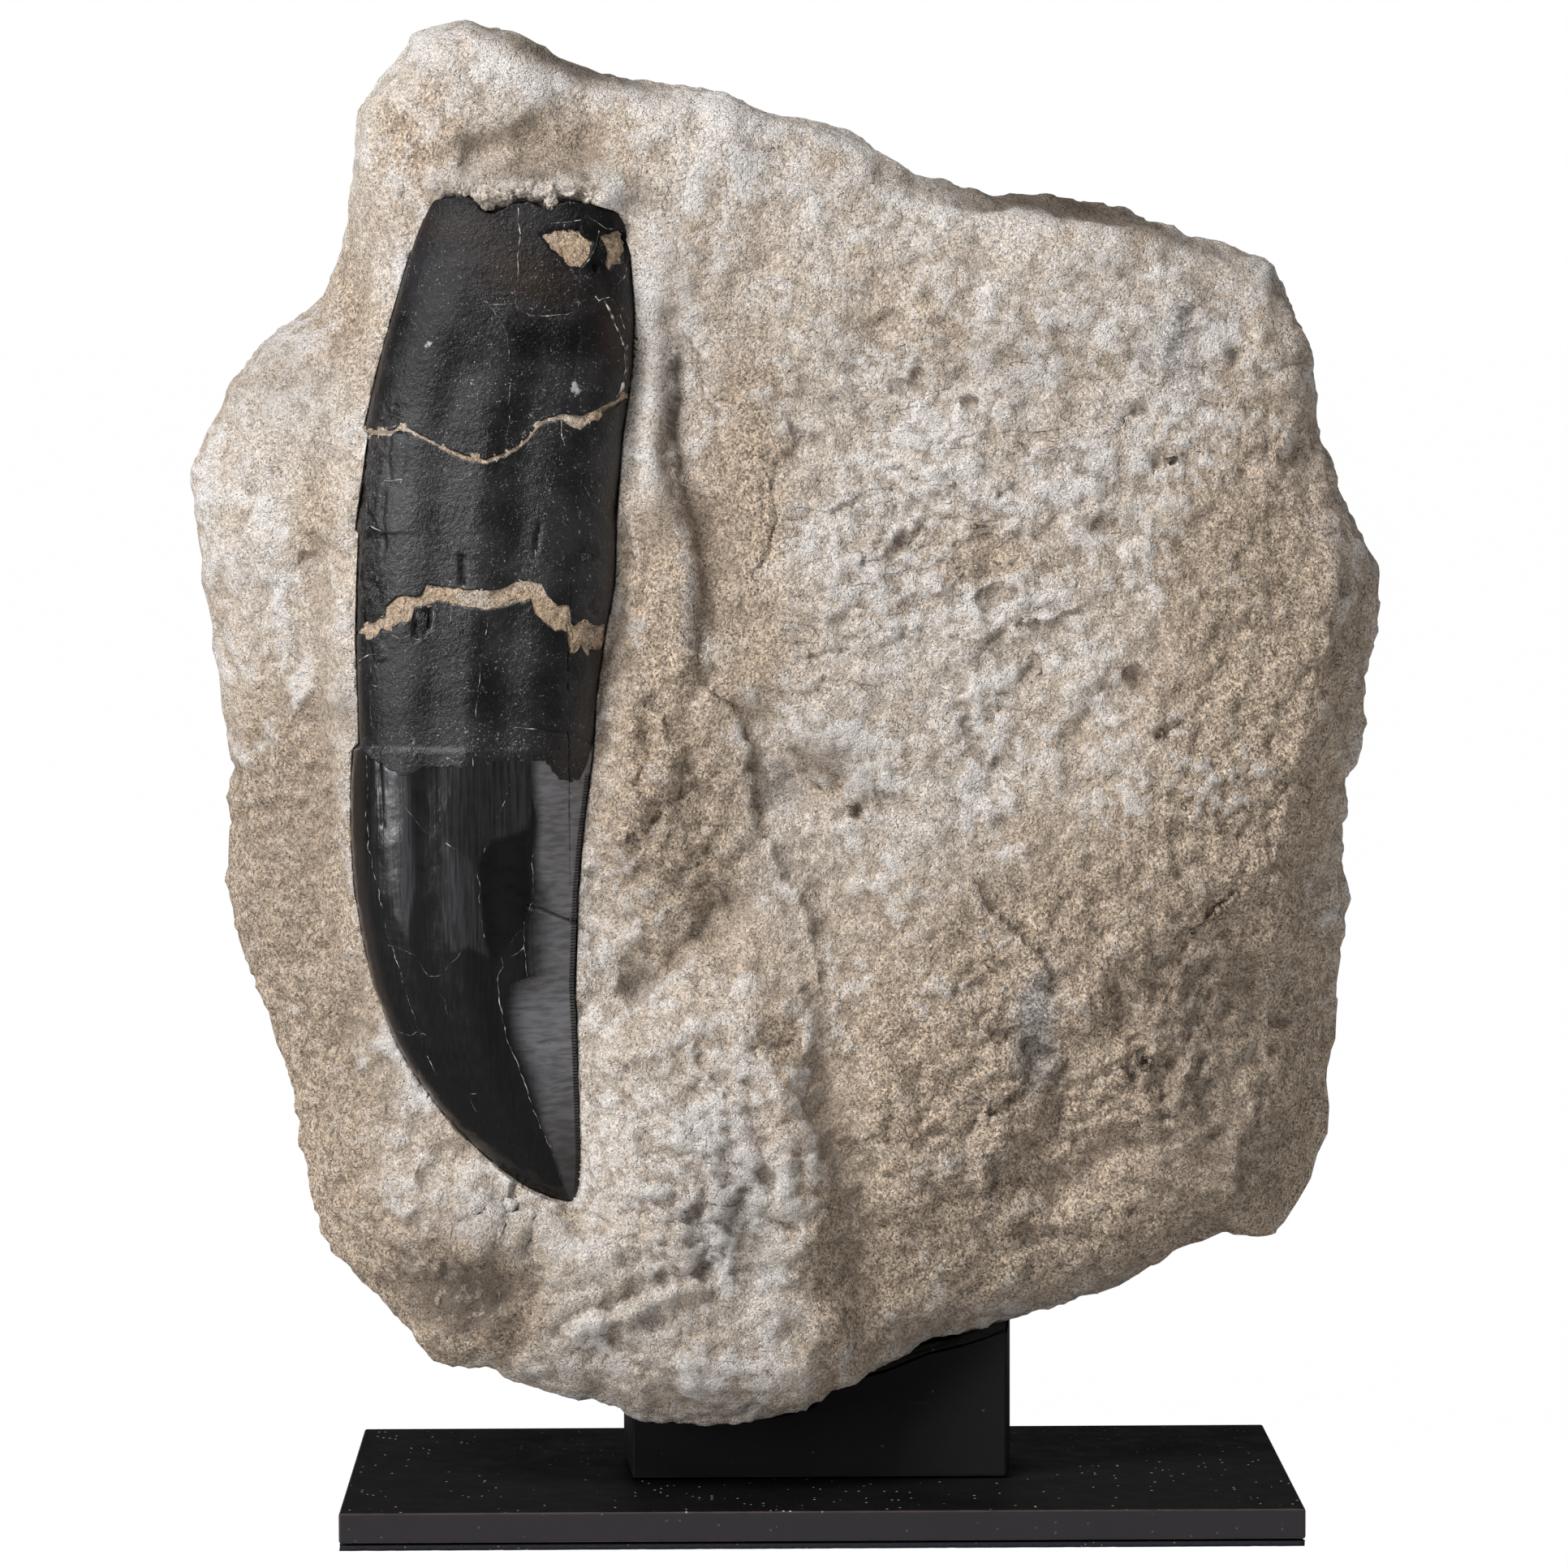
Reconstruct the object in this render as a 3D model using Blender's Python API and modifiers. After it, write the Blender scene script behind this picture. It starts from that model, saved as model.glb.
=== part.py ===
"""A fossil allosaurus tooth bedded in a piece of pale sandstone, on a black block and base plate.

Metres, +Z up. The origin is the middle of the base's underside. The tooth faces -Y, and +X is to its right.
"""
import math

import bmesh
import bpy
import numpy as np
from mathutils import noise

# Clearance between pieces that touch
GAP = 0.0003

# Base plate and the pad under it
PLATE_WIDTH = 0.1194
PLATE_DEPTH = 0.0620
PLATE_TOP = 0.0047
PLATE_ROUNDING = 0.0003
PAD_HEIGHT = 0.0006
PAD_INSET = 0.0003

# Upright block: a little wider at the back, and carved on top to fit the stone
BLOCK_FRONT_WIDTH = 0.0474
BLOCK_BACK_WIDTH = 0.0500
BLOCK_DEPTH = 0.0180
BLOCK_HIGHEST = 0.0300
BLOCK_ROUNDING = 0.0003
BEDDING_THICKNESS = 0.0010
BEDDING_INSET = 0.0002

# Stone: its outline seen from the front (x, z), anticlockwise from the peak
STONE_OUTLINE = (
    (-0.0432, 0.1884), (-0.0502, 0.1866), (-0.0532, 0.1817), (-0.0565, 0.1770), (-0.0575, 0.1686),
    (-0.0595, 0.1602), (-0.0615, 0.1549), (-0.0638, 0.1523), (-0.0688, 0.1491), (-0.0739, 0.1435),
    (-0.0765, 0.1381), (-0.0790, 0.1327), (-0.0783, 0.1280), (-0.0775, 0.1200), (-0.0763, 0.1120),
    (-0.0754, 0.1040), (-0.0744, 0.0976), (-0.0736, 0.0945), (-0.0748, 0.0917), (-0.0740, 0.0889),
    (-0.0749, 0.0809), (-0.0731, 0.0737), (-0.0704, 0.0663), (-0.0679, 0.0596), (-0.0658, 0.0530),
    (-0.0652, 0.0471), (-0.0643, 0.0421), (-0.0634, 0.0375), (-0.0612, 0.0337), (-0.0538, 0.0275),
    (-0.0487, 0.0211), (-0.0417, 0.0205), (-0.0357, 0.0175), (-0.0322, 0.0163), (-0.0280, 0.0163),
    (-0.0234, 0.0143), (-0.0179, 0.0133), (-0.0064, 0.0132), (-0.0017, 0.0143), (0.0014, 0.0172),
    (0.0054, 0.0188), (0.0128, 0.0218), (0.0240, 0.0244), (0.0362, 0.0273), (0.0396, 0.0281),
    (0.0452, 0.0311), (0.0479, 0.0334), (0.0514, 0.0348), (0.0578, 0.0349), (0.0593, 0.0358),
    (0.0634, 0.0420), (0.0654, 0.0462), (0.0657, 0.0485), (0.0651, 0.0530), (0.0655, 0.0558),
    (0.0667, 0.0597), (0.0667, 0.0687), (0.0681, 0.0778), (0.0670, 0.0831), (0.0672, 0.0930),
    (0.0690, 0.1036), (0.0708, 0.1122), (0.0710, 0.1198), (0.0697, 0.1227), (0.0664, 0.1299),
    (0.0641, 0.1354), (0.0628, 0.1381), (0.0630, 0.1414), (0.0610, 0.1480), (0.0589, 0.1541),
    (0.0567, 0.1580), (0.0529, 0.1591), (0.0469, 0.1610), (0.0421, 0.1640), (0.0360, 0.1661),
    (0.0220, 0.1665), (0.0120, 0.1689), (0.0060, 0.1732), (0.0016, 0.1751), (-0.0084, 0.1771),
    (-0.0123, 0.1794), (-0.0211, 0.1811), (-0.0278, 0.1827), (-0.0335, 0.1846), (-0.0397, 0.1878),
)
STONE_MIDDLE = (-0.0040, 0.1000)
STONE_FRONT = -0.0240
STONE_BACK = 0.0270
STONE_SPREAD = 1.7

# Around the rim: angle in degrees, depth of the widest section, squareness of the front and of the back edge
STONE_RIM = (
    (0, 0.0040, 7.0, 3.2), (35, 0.0050, 9.0, 3.0), (60, 0.0060, 9.0, 3.0), (80, 0.0030, 10.0, 3.2),
    (118, 0.0000, 9.0, 2.8), (133, -0.0030, 3.4, 2.6), (155, -0.0040, 2.3, 2.6), (185, -0.0040, 2.1, 2.8),
    (215, -0.0080, 2.1, 2.8), (240, -0.0150, 2.4, 2.4), (262, -0.0160, 2.8, 2.2), (275, -0.0150, 3.0, 2.2),
    (283, -0.0050, 2.8, 2.4), (305, 0.0000, 2.4, 2.6), (330, 0.0020, 2.8, 3.0), (345, 0.0040, 4.5, 3.2),
    (360, 0.0040, 7.0, 3.2),
)

# Forms of the front as lines (x, z) with a half width and a height: valleys are below zero, ridges above
STONE_LINES = (
    (((-0.0150, 0.1560), (-0.0148, 0.1458), (-0.0158, 0.1349), (-0.0152, 0.1259), (-0.0140, 0.1189),
      (-0.0125, 0.1108)), 0.0029, -0.0046),
    (((-0.0135, 0.1130), (-0.0100, 0.1038), (-0.0078, 0.0978), (-0.0052, 0.0908), (-0.0022, 0.0847),
      (-0.0004, 0.0776), (0.0004, 0.0696)), 0.0048, -0.0050),
    (((-0.0110, 0.1440), (-0.0095, 0.1300), (-0.0095, 0.1150), (-0.0060, 0.1040)), 0.0060, -0.0012),
    (((-0.0213, 0.1650), (-0.0203, 0.1508), (-0.0197, 0.1400), (-0.0204, 0.1309), (-0.0192, 0.1229),
      (-0.0180, 0.1169), (-0.0190, 0.1090), (-0.0165, 0.1050), (-0.0130, 0.0990)), 0.0022, 0.0026),
    (((-0.0246, 0.0666), (-0.0212, 0.0702), (-0.0161, 0.0732), (-0.0110, 0.0757), (-0.0070, 0.0770)),
     0.0028, -0.0042),
    (((-0.0440, 0.1712), (-0.0366, 0.1727), (-0.0316, 0.1747), (-0.0260, 0.1770)), 0.0036, -0.0040),
    (((-0.0506, 0.1683), (-0.0446, 0.1686), (-0.0366, 0.1690), (-0.0267, 0.1690), (-0.0217, 0.1670)),
     0.0022, 0.0022),
    (((0.0004, 0.0676), (0.0000, 0.0600), (0.0035, 0.0510), (0.0058, 0.0433), (0.0078, 0.0341),
      (0.0085, 0.0250)), 0.0036, -0.0050),
    (((0.0201, 0.0784), (0.0292, 0.0743), (0.0327, 0.0700), (0.0292, 0.0652), (0.0277, 0.0601),
      (0.0241, 0.0531), (0.0215, 0.0460)), 0.0030, -0.0024),
    (((0.0182, 0.0400), (0.0252, 0.0420), (0.0323, 0.0418), (0.0394, 0.0446), (0.0455, 0.0470)),
     0.0034, 0.0030),
    (((-0.0058, 0.1470), (-0.0053, 0.1418), (-0.0035, 0.1363), (-0.0053, 0.1318), (-0.0081, 0.1268),
      (-0.0090, 0.1188), (-0.0082, 0.1120)), 0.0014, -0.0009),
    (((-0.0590, 0.1560), (-0.0560, 0.1400), (-0.0600, 0.1180), (-0.0610, 0.0980), (-0.0600, 0.0800),
      (-0.0560, 0.0640), (-0.0500, 0.0540)), 0.0030, -0.0012),
)

# Forms of the front with a level top: outline (x, z), width of the sloping edge, height
STONE_SHELVES = (
    (((-0.0570, 0.0600), (-0.0480, 0.0510), (-0.0400, 0.0440), (-0.0298, 0.0405), (-0.0285, 0.0639),
      (-0.0232, 0.0636), (-0.0141, 0.0672), (-0.0096, 0.0700), (-0.0036, 0.0676), (-0.0016, 0.0600),
      (-0.0027, 0.0526), (0.0000, 0.0456), (0.0010, 0.0365), (0.0030, 0.0283), (0.0018, 0.0100),
      (-0.0500, 0.0100), (-0.0680, 0.0400)), 0.0042, 0.0042),
    (((0.0260, 0.0610), (0.0300, 0.0560), (0.0250, 0.0500), (0.0210, 0.0440), (0.0300, 0.0400),
      (0.0480, 0.0440), (0.0620, 0.0560), (0.0640, 0.0760), (0.0560, 0.0820), (0.0420, 0.0740),
      (0.0330, 0.0640)), 0.0060, -0.0026),
)

# Swellings and hollows of the front: middle (x, z), half width, half height, turn in degrees, height
STONE_SWELLINGS = (
    (-0.0205, 0.0920, 0.0070, 0.0150, 8, 0.0030),
    (-0.0180, 0.0760, 0.0050, 0.0040, 30, -0.0016),
    (0.0000, 0.0956, 0.0062, 0.0066, 0, -0.0020),
    (-0.0071, 0.0613, 0.0034, 0.0040, 0, -0.0030),
    (-0.0436, 0.0290, 0.0050, 0.0048, 20, -0.0034),
    (-0.0420, 0.0370, 0.0060, 0.0040, 35, 0.0014),
    (-0.0230, 0.0330, 0.0110, 0.0140, 15, 0.0022),
    (-0.0140, 0.0180, 0.0130, 0.0050, 0, 0.0016),
    (0.0196, 0.0455, 0.0030, 0.0026, 0, -0.0018),
    (0.0110, 0.0420, 0.0050, 0.0090, 10, 0.0020),
    (-0.0625, 0.1210, 0.0030, 0.0045, 10, -0.0012),
    (-0.0480, 0.1790, 0.0080, 0.0070, 30, 0.0014),
    (0.0400, 0.1450, 0.0140, 0.0080, 20, -0.0012),
    (0.0250, 0.1000, 0.0200, 0.0160, 0, 0.0010),
)

# Broken faces of the sides and the back: a point on the face, and its direction outwards
STONE_BREAKS = (
    ((0.0000, 0.0235, 0.1150), (0.05, 1.00, 0.10)),
    ((-0.0400, 0.0170, 0.0900), (-0.45, 1.00, -0.05)),
    ((0.0450, 0.0190, 0.1100), (0.55, 1.00, 0.10)),
    ((0.0050, 0.0150, 0.0500), (0.10, 1.00, -0.50)),
    ((-0.0300, 0.0160, 0.1600), (-0.20, 1.00, 0.60)),
    ((0.0640, -0.0050, 0.0680), (1.00, -0.70, -0.24)),
)
BREAK_SHARE = 0.85
LUMP_SIZE = 0.018
LUMP_HEIGHT = 0.0014
RIM_LUMP_SHARE = 0.25
FORMS_FADE_FROM = 0.25
FORMS_FADE_OVER = 0.45
STONE_SHARE_KEPT = 0.074

# Tooth: height, then the left and the right edge at that height
TOOTH_EDGES = (
    (0.1730, -0.0470, -0.0250), (0.1659, -0.0480, -0.0238), (0.1592, -0.0503, -0.0231),
    (0.1521, -0.0524, -0.0226), (0.1457, -0.0542, -0.0229), (0.1381, -0.0560, -0.0240),
    (0.1262, -0.0570, -0.0250), (0.1190, -0.0571, -0.0252), (0.1117, -0.0572, -0.0266),
    (0.1049, -0.0572, -0.0276), (0.0985, -0.0579, -0.0279), (0.0936, -0.0581, -0.0285),
    (0.0873, -0.0580, -0.0293), (0.0809, -0.0576, -0.0299), (0.0739, -0.0564, -0.0302),
    (0.0690, -0.0553, -0.0304), (0.0619, -0.0526, -0.0301), (0.0584, -0.0506, -0.0300),
    (0.0548, -0.0481, -0.0299), (0.0515, -0.0455, -0.0298), (0.0489, -0.0427, -0.0297),
    (0.0465, -0.0401, -0.0297), (0.0441, -0.0369, -0.0299), (0.0426, -0.0337, -0.0303),
    (0.0420, -0.0315, -0.0308),
)
TOOTH_MIDDLE_DEPTH = -0.0215
TOOTH_THICKNESS = 0.0160
TOOTH_THICKNESS_TO_WIDTH = 0.54
TOOTH_SIDES = 20
TOOTH_RINGS = 34
TOP_CLOSING = 3.0
TIP_BLUNTNESS = 0.5
TIP_CLOSING = 6.0

# Ragged upper end of the root, and the breaks through the tooth, left to right (x, z)
ROOT_TOP = (
    (-0.0600, 0.1657), (-0.0460, 0.1662), (-0.0440, 0.1667), (-0.0422, 0.1664), (-0.0415, 0.1649),
    (-0.0396, 0.1643), (-0.0376, 0.1655), (-0.0356, 0.1659), (-0.0326, 0.1645), (-0.0318, 0.1657),
    (-0.0296, 0.1659), (-0.0247, 0.1645), (-0.0180, 0.1639),
)
NARROW_BREAK = (
    (-0.0640, 0.1379), (-0.0525, 0.1379), (-0.0515, 0.1385), (-0.0491, 0.1377), (-0.0466, 0.1363),
    (-0.0436, 0.1350), (-0.0407, 0.1343), (-0.0382, 0.1353), (-0.0357, 0.1370), (-0.0342, 0.1390),
    (-0.0317, 0.1400), (-0.0292, 0.1397), (-0.0272, 0.1404), (-0.0240, 0.1422), (-0.0180, 0.1432),
)
NARROW_BREAK_HEIGHT = 0.0004
WIDE_BREAK_TOP = (
    (-0.0640, 0.1136), (-0.0568, 0.1136), (-0.0536, 0.1145), (-0.0531, 0.1164), (-0.0522, 0.1180),
    (-0.0487, 0.1180), (-0.0484, 0.1196), (-0.0436, 0.1190), (-0.0405, 0.1188), (-0.0368, 0.1199),
    (-0.0335, 0.1186), (-0.0330, 0.1173), (-0.0306, 0.1168), (-0.0302, 0.1148), (-0.0262, 0.1141),
    (-0.0180, 0.1136),
)
WIDE_BREAK_BOTTOM = (
    (-0.0640, 0.1128), (-0.0568, 0.1128), (-0.0551, 0.1124), (-0.0531, 0.1141), (-0.0504, 0.1146),
    (-0.0498, 0.1166), (-0.0466, 0.1176), (-0.0440, 0.1171), (-0.0408, 0.1164), (-0.0355, 0.1175),
    (-0.0351, 0.1160), (-0.0335, 0.1145), (-0.0312, 0.1137), (-0.0310, 0.1113), (-0.0283, 0.1104),
    (-0.0270, 0.1111), (-0.0180, 0.1113),
)
TOOTH_LOWEST = 0.0350
SEAM_SETBACK = 0.0005
CUT_FRONT = -0.0515
CUT_BACK = 0.0085

# Colours, roughness and metallic value of each piece
SANDSTONE = ((0.62, 0.52, 0.40), 0.90, 0.0)
ROOT_BLACK = ((0.020, 0.019, 0.020), 0.38, 0.0)
ENAMEL_BLACK = ((0.013, 0.013, 0.015), 0.22, 0.0)
SATIN_BLACK = ((0.006, 0.006, 0.007), 0.45, 0.0)
BEDDING_BLACK = ((0.010, 0.009, 0.008), 0.80, 0.0)
PAD_BLACK = ((0.008, 0.008, 0.012), 0.95, 0.0)


def clear_scene():
    for item in list(bpy.data.objects):
        bpy.data.objects.remove(item, do_unlink=True)


def new_collection(name):
    collection = bpy.data.collections.new(name)
    bpy.context.scene.collection.children.link(collection)
    return collection


def make_material(name, finish):
    colour, roughness, metallic = finish
    material = bpy.data.materials.new(name)
    material.use_nodes = True
    shader = material.node_tree.nodes["Principled BSDF"]
    shader.inputs["Base Color"].default_value = (*colour, 1.0)
    shader.inputs["Roughness"].default_value = roughness
    shader.inputs["Metallic"].default_value = metallic
    return material


def mesh_object(bm, name, collection):
    """Puts a bmesh in a new object of this name."""
    mesh = bpy.data.meshes.new(name)
    bm.to_mesh(mesh)
    bm.free()
    item = bpy.data.objects.new(name, mesh)
    collection.objects.link(item)
    return item


def as_cutter(item):
    item.hide_render = True
    item.display_type = "WIRE"
    return item


def evaluated_bmesh(item):
    """The object's mesh with its modifiers applied, in world space."""
    evaluated = item.evaluated_get(bpy.context.evaluated_depsgraph_get())
    mesh = bpy.data.meshes.new_from_object(evaluated)
    mesh.transform(item.matrix_world)
    bm = bmesh.new()
    bm.from_mesh(mesh)
    bpy.data.meshes.remove(mesh)
    bmesh.ops.remove_doubles(bm, verts=bm.verts, dist=1e-7)
    return bm


def swollen(item, amount, name, collection):
    """A cutter with the object's shape, every face moved outwards by the amount."""
    bm = evaluated_bmesh(item)
    bm.normal_update()
    moves = [vert.normal * amount * min(vert.calc_shell_factor(), 1.5) for vert in bm.verts]
    for vert, move in zip(bm.verts, moves):
        vert.co += move
    return as_cutter(mesh_object(bm, name, collection))


def prism(outline, front, back, name, collection):
    """A flat outline in x and z, filled and given depth from front to back."""
    curve = bpy.data.curves.new(name, "CURVE")
    curve.dimensions = "2D"
    curve.fill_mode = "BOTH"
    curve.extrude = (back - front) / 2
    spline = curve.splines.new("POLY")
    spline.points.add(len(outline) - 1)
    for point, (x, z) in zip(spline.points, outline):
        point.co = (x, z, 0.0, 1.0)
    spline.use_cyclic_u = True
    flat = bpy.data.objects.new(name + "_outline", curve)
    collection.objects.link(flat)
    flat.rotation_euler = (math.pi / 2, 0.0, 0.0)
    flat.location = (0.0, (front + back) / 2, 0.0)
    bpy.context.view_layer.update()
    bm = evaluated_bmesh(flat)
    bpy.data.objects.remove(flat)
    bmesh.ops.recalc_face_normals(bm, faces=bm.faces)
    return as_cutter(mesh_object(bm, name, collection))


def boolean(item, other, operation):
    modifier = item.modifiers.new(operation.title(), "BOOLEAN")
    modifier.operation = operation
    modifier.object = other
    modifier.solver = "EXACT"
    return modifier


def bevel(item, width):
    modifier = item.modifiers.new("Rounded edges", "BEVEL")
    modifier.width = width
    modifier.segments = 2
    modifier.limit_method = "ANGLE"
    return modifier


def level_ends(value):
    """Runs from 0 to 1 with level ends."""
    share = np.clip(value, 0.0, 1.0)
    return share * share * (3.0 - 2.0 * share)


def outline_radius(angle):
    """Distance from the stone's middle to its outline at each angle."""
    corners = np.array(STONE_OUTLINE) - np.array(STONE_MIDDLE)
    corners = corners[np.argsort(np.arctan2(corners[:, 1], corners[:, 0]))]
    corner_angle = np.arctan2(corners[:, 1], corners[:, 0])
    after = np.searchsorted(corner_angle, angle) % len(corners)
    start = corners[after - 1]
    edge = corners[after] - start
    across = start[:, 0] * edge[:, 1] - start[:, 1] * edge[:, 0]
    return across / (np.cos(angle) * edge[:, 1] - np.sin(angle) * edge[:, 0])


def nearest_on_line(x, z, points):
    """Distance to a line of points, from each place."""
    nearest = np.full(len(x), np.inf)
    for (ax, az), (bx, bz) in zip(points, points[1:]):
        length = (bx - ax) ** 2 + (bz - az) ** 2
        along = np.clip(((x - ax) * (bx - ax) + (z - az) * (bz - az)) / length, 0.0, 1.0)
        away = np.hypot(x - ax - along * (bx - ax), z - az - along * (bz - az))
        nearest = np.minimum(nearest, away)
    return nearest


def inside_outline(x, z, points):
    """Which places lie inside a closed outline."""
    inside = np.zeros(len(x), dtype=bool)
    for (ax, az), (bx, bz) in zip(points, points[1:] + points[:1]):
        if az == bz:
            continue
        crosses = (z > min(az, bz)) & (z <= max(az, bz))
        inside ^= crosses & (x < ax + (z - az) * (bx - ax) / (bz - az))
    return inside


def front_forms(x, z):
    """How far the front stands out of its even surface at each place."""
    height = np.zeros(len(x))
    for points, width, rise in STONE_LINES:
        height += rise * np.exp(-(nearest_on_line(x, z, points) / width) ** 2)
    for points, edge, rise in STONE_SHELVES:
        away = nearest_on_line(x, z, points + points[:1])
        signed = np.where(inside_outline(x, z, points), away, -away)
        height += rise * level_ends(0.5 + signed / edge)
    for middle_x, middle_z, half_width, half_height, turn, rise in STONE_SWELLINGS:
        angle = math.radians(turn)
        across = (x - middle_x) * math.cos(angle) + (z - middle_z) * math.sin(angle)
        along = (z - middle_z) * math.cos(angle) - (x - middle_x) * math.sin(angle)
        height += rise * np.exp(-(across / half_width) ** 2 - (along / half_height) ** 2)
    return height


def stone_surface(directions):
    """The stone's surface in each direction from its middle, and how far from the rim it is there."""
    x, y, z = directions[:, 0], directions[:, 1] * STONE_SPREAD, directions[:, 2]
    spread = np.sqrt(x * x + y * y + z * z)
    out, deep = np.hypot(x, z) / spread, np.abs(y) / spread
    angle = np.arctan2(z, x)
    rim = np.array(STONE_RIM)
    degrees = np.degrees(angle) % 360.0
    widest, front_edge, back_edge = (np.interp(degrees, rim[:, 0], rim[:, k]) for k in (1, 2, 3))
    edge = np.where(y < 0.0, front_edge, back_edge)
    scale = (out ** edge + deep ** edge) ** (-1.0 / edge)
    radius = out * scale * outline_radius(angle)
    facing = deep * scale
    ends = np.where(y < 0.0, STONE_FRONT, STONE_BACK)
    points = np.column_stack([
        STONE_MIDDLE[0] + radius * np.cos(angle),
        widest + facing * (ends - widest),
        STONE_MIDDLE[1] + radius * np.sin(angle),
    ])
    frontal = np.where(y < 0.0, level_ends((facing - FORMS_FADE_FROM) / FORMS_FADE_OVER), 0.0)
    points[:, 1] -= frontal * front_forms(points[:, 0], points[:, 2])
    return points, facing


def break_faces(points):
    """Flattens the sides and the back where the stone was broken off."""
    for place, outwards in STONE_BREAKS:
        normal = np.array(outwards) / np.linalg.norm(outwards)
        beyond = np.maximum((points - np.array(place)) @ normal, 0.0)
        points = points - np.outer(beyond * BREAK_SHARE, normal)
    return points


def make_stone(collection):
    """A ball of even triangles, pressed to the stone's outline and given its forms."""
    bm = bmesh.new()
    bmesh.ops.create_icosphere(bm, subdivisions=7, radius=1.0)
    directions = np.array([vert.co.normalized() for vert in bm.verts])
    points, facing = stone_surface(directions)
    points = break_faces(points)
    for vert, point in zip(bm.verts, points):
        vert.co = point
    bm.normal_update()
    moves = []
    for vert, from_rim in zip(bm.verts, facing):
        lump = noise.fractal(vert.co / LUMP_SIZE, 0.9, 2.0, 3)
        share = RIM_LUMP_SHARE + (1.0 - RIM_LUMP_SHARE) * min(from_rim * 2.0, 1.0)
        moves.append(vert.normal * lump * LUMP_HEIGHT * share)
    for vert, move in zip(bm.verts, moves):
        vert.co += move
    stone = mesh_object(bm, "matrix", collection)
    modifier = stone.modifiers.new("Fewer faces", "DECIMATE")
    modifier.ratio = STONE_SHARE_KEPT
    return stone


def tooth_width(height):
    """Left and right edge of the tooth at each height."""
    rows = np.array(TOOTH_EDGES)[::-1]
    return np.interp(height, rows[:, 0], rows[:, 1]), np.interp(height, rows[:, 0], rows[:, 2])


def end_closing(ring, at_top):
    """Share of its full width that the tooth has, from the ball's ring radius near either end."""
    if ring < 1e-6:
        return 0.0
    return min(1.0, ring * TOP_CLOSING) if at_top else min(1.0, TIP_BLUNTNESS + ring * TIP_CLOSING)


def make_tooth(name, collection, slimmer=0.0):
    """The whole tooth: a ball drawn out to its height, and pressed to its edges."""
    bm = bmesh.new()
    bmesh.ops.create_uvsphere(bm, u_segments=TOOTH_SIDES, v_segments=TOOTH_RINGS, radius=1.0)
    top, bottom = TOOTH_EDGES[0][0], TOOTH_EDGES[-1][0]
    for vert in bm.verts:
        height = bottom + (top - bottom) * (vert.co.z + 1.0) / 2.0
        left, right = tooth_width(height)
        around = math.atan2(vert.co.y, vert.co.x)
        share = end_closing(math.hypot(vert.co.x, vert.co.y), vert.co.z > 0.0)
        half = (right - left) / 2.0 * share - slimmer
        thick = min(TOOTH_THICKNESS, (right - left) * TOOTH_THICKNESS_TO_WIDTH) / 2.0 * share - slimmer
        vert.co.x = (left + right) / 2.0 + half * math.cos(around)
        vert.co.y = TOOTH_MIDDLE_DEPTH + thick * math.sin(around)
        vert.co.z = height
    return mesh_object(bm, name, collection)


def fragment(name, upper, lower, collection, cutters):
    """The part of the tooth between two lines."""
    piece = make_tooth(name, collection)
    outline = tuple(upper) + tuple(reversed(lower))
    band = prism(outline, CUT_FRONT, CUT_BACK, name + "_band", cutters)
    boolean(piece, band, "INTERSECT")
    return piece


def make_fragments(collection, cutters):
    below_narrow = tuple((x, z - NARROW_BREAK_HEIGHT) for x, z in NARROW_BREAK)
    lowest = ((WIDE_BREAK_BOTTOM[0][0], TOOTH_LOWEST), (WIDE_BREAK_BOTTOM[-1][0], TOOTH_LOWEST))
    return (
        fragment("tooth_root_top", ROOT_TOP, NARROW_BREAK, collection, cutters),
        fragment("tooth_root_middle", below_narrow, WIDE_BREAK_TOP, collection, cutters),
        fragment("tooth_crown", WIDE_BREAK_BOTTOM, lowest, collection, cutters),
    )


def add_seam(stone, cutters):
    """The sandstone that fills the wide break, up to just under the tooth's surface."""
    outline = tuple(WIDE_BREAK_TOP) + tuple(reversed(WIDE_BREAK_BOTTOM))
    seam = prism(outline, CUT_FRONT, CUT_BACK, "seam", cutters)
    core = as_cutter(make_tooth("seam_core", cutters, SEAM_SETBACK))
    boolean(seam, core, "INTERSECT")
    boolean(stone, seam, "UNION")


def cut_pocket(stone, fragments, cutters):
    for piece in fragments:
        boolean(stone, swollen(piece, GAP, piece.name + "_pocket", cutters), "DIFFERENCE")


def block_prism(name, inset, bottom, top, collection):
    """The upright block's plan, wider at the back, from bottom to top."""
    bm = bmesh.new()
    bmesh.ops.create_cube(bm, size=1.0)
    for vert in bm.verts:
        width = BLOCK_FRONT_WIDTH if vert.co.y < 0.0 else BLOCK_BACK_WIDTH
        vert.co.x *= width - 2.0 * inset
        vert.co.y *= BLOCK_DEPTH - 2.0 * inset
        vert.co.z = bottom if vert.co.z < 0.0 else top
    return mesh_object(bm, name, collection)


def make_block(stone, collection, cutters):
    block = block_prism("block", 0.0, PLATE_TOP + GAP, BLOCK_HIGHEST, collection)
    bevel(block, BLOCK_ROUNDING)
    cutter = swollen(stone, BEDDING_THICKNESS + 2.0 * GAP, "block_carving", cutters)
    boolean(block, cutter, "DIFFERENCE")
    return block


def make_bedding(stone, collection, cutters):
    bedding = block_prism("bedding", BEDDING_INSET, PLATE_TOP + GAP, BLOCK_HIGHEST, collection)
    boolean(bedding, swollen(stone, BEDDING_THICKNESS + GAP, "bedding_outside", cutters), "INTERSECT")
    boolean(bedding, swollen(stone, GAP, "bedding_inside", cutters), "DIFFERENCE")
    return bedding


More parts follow.
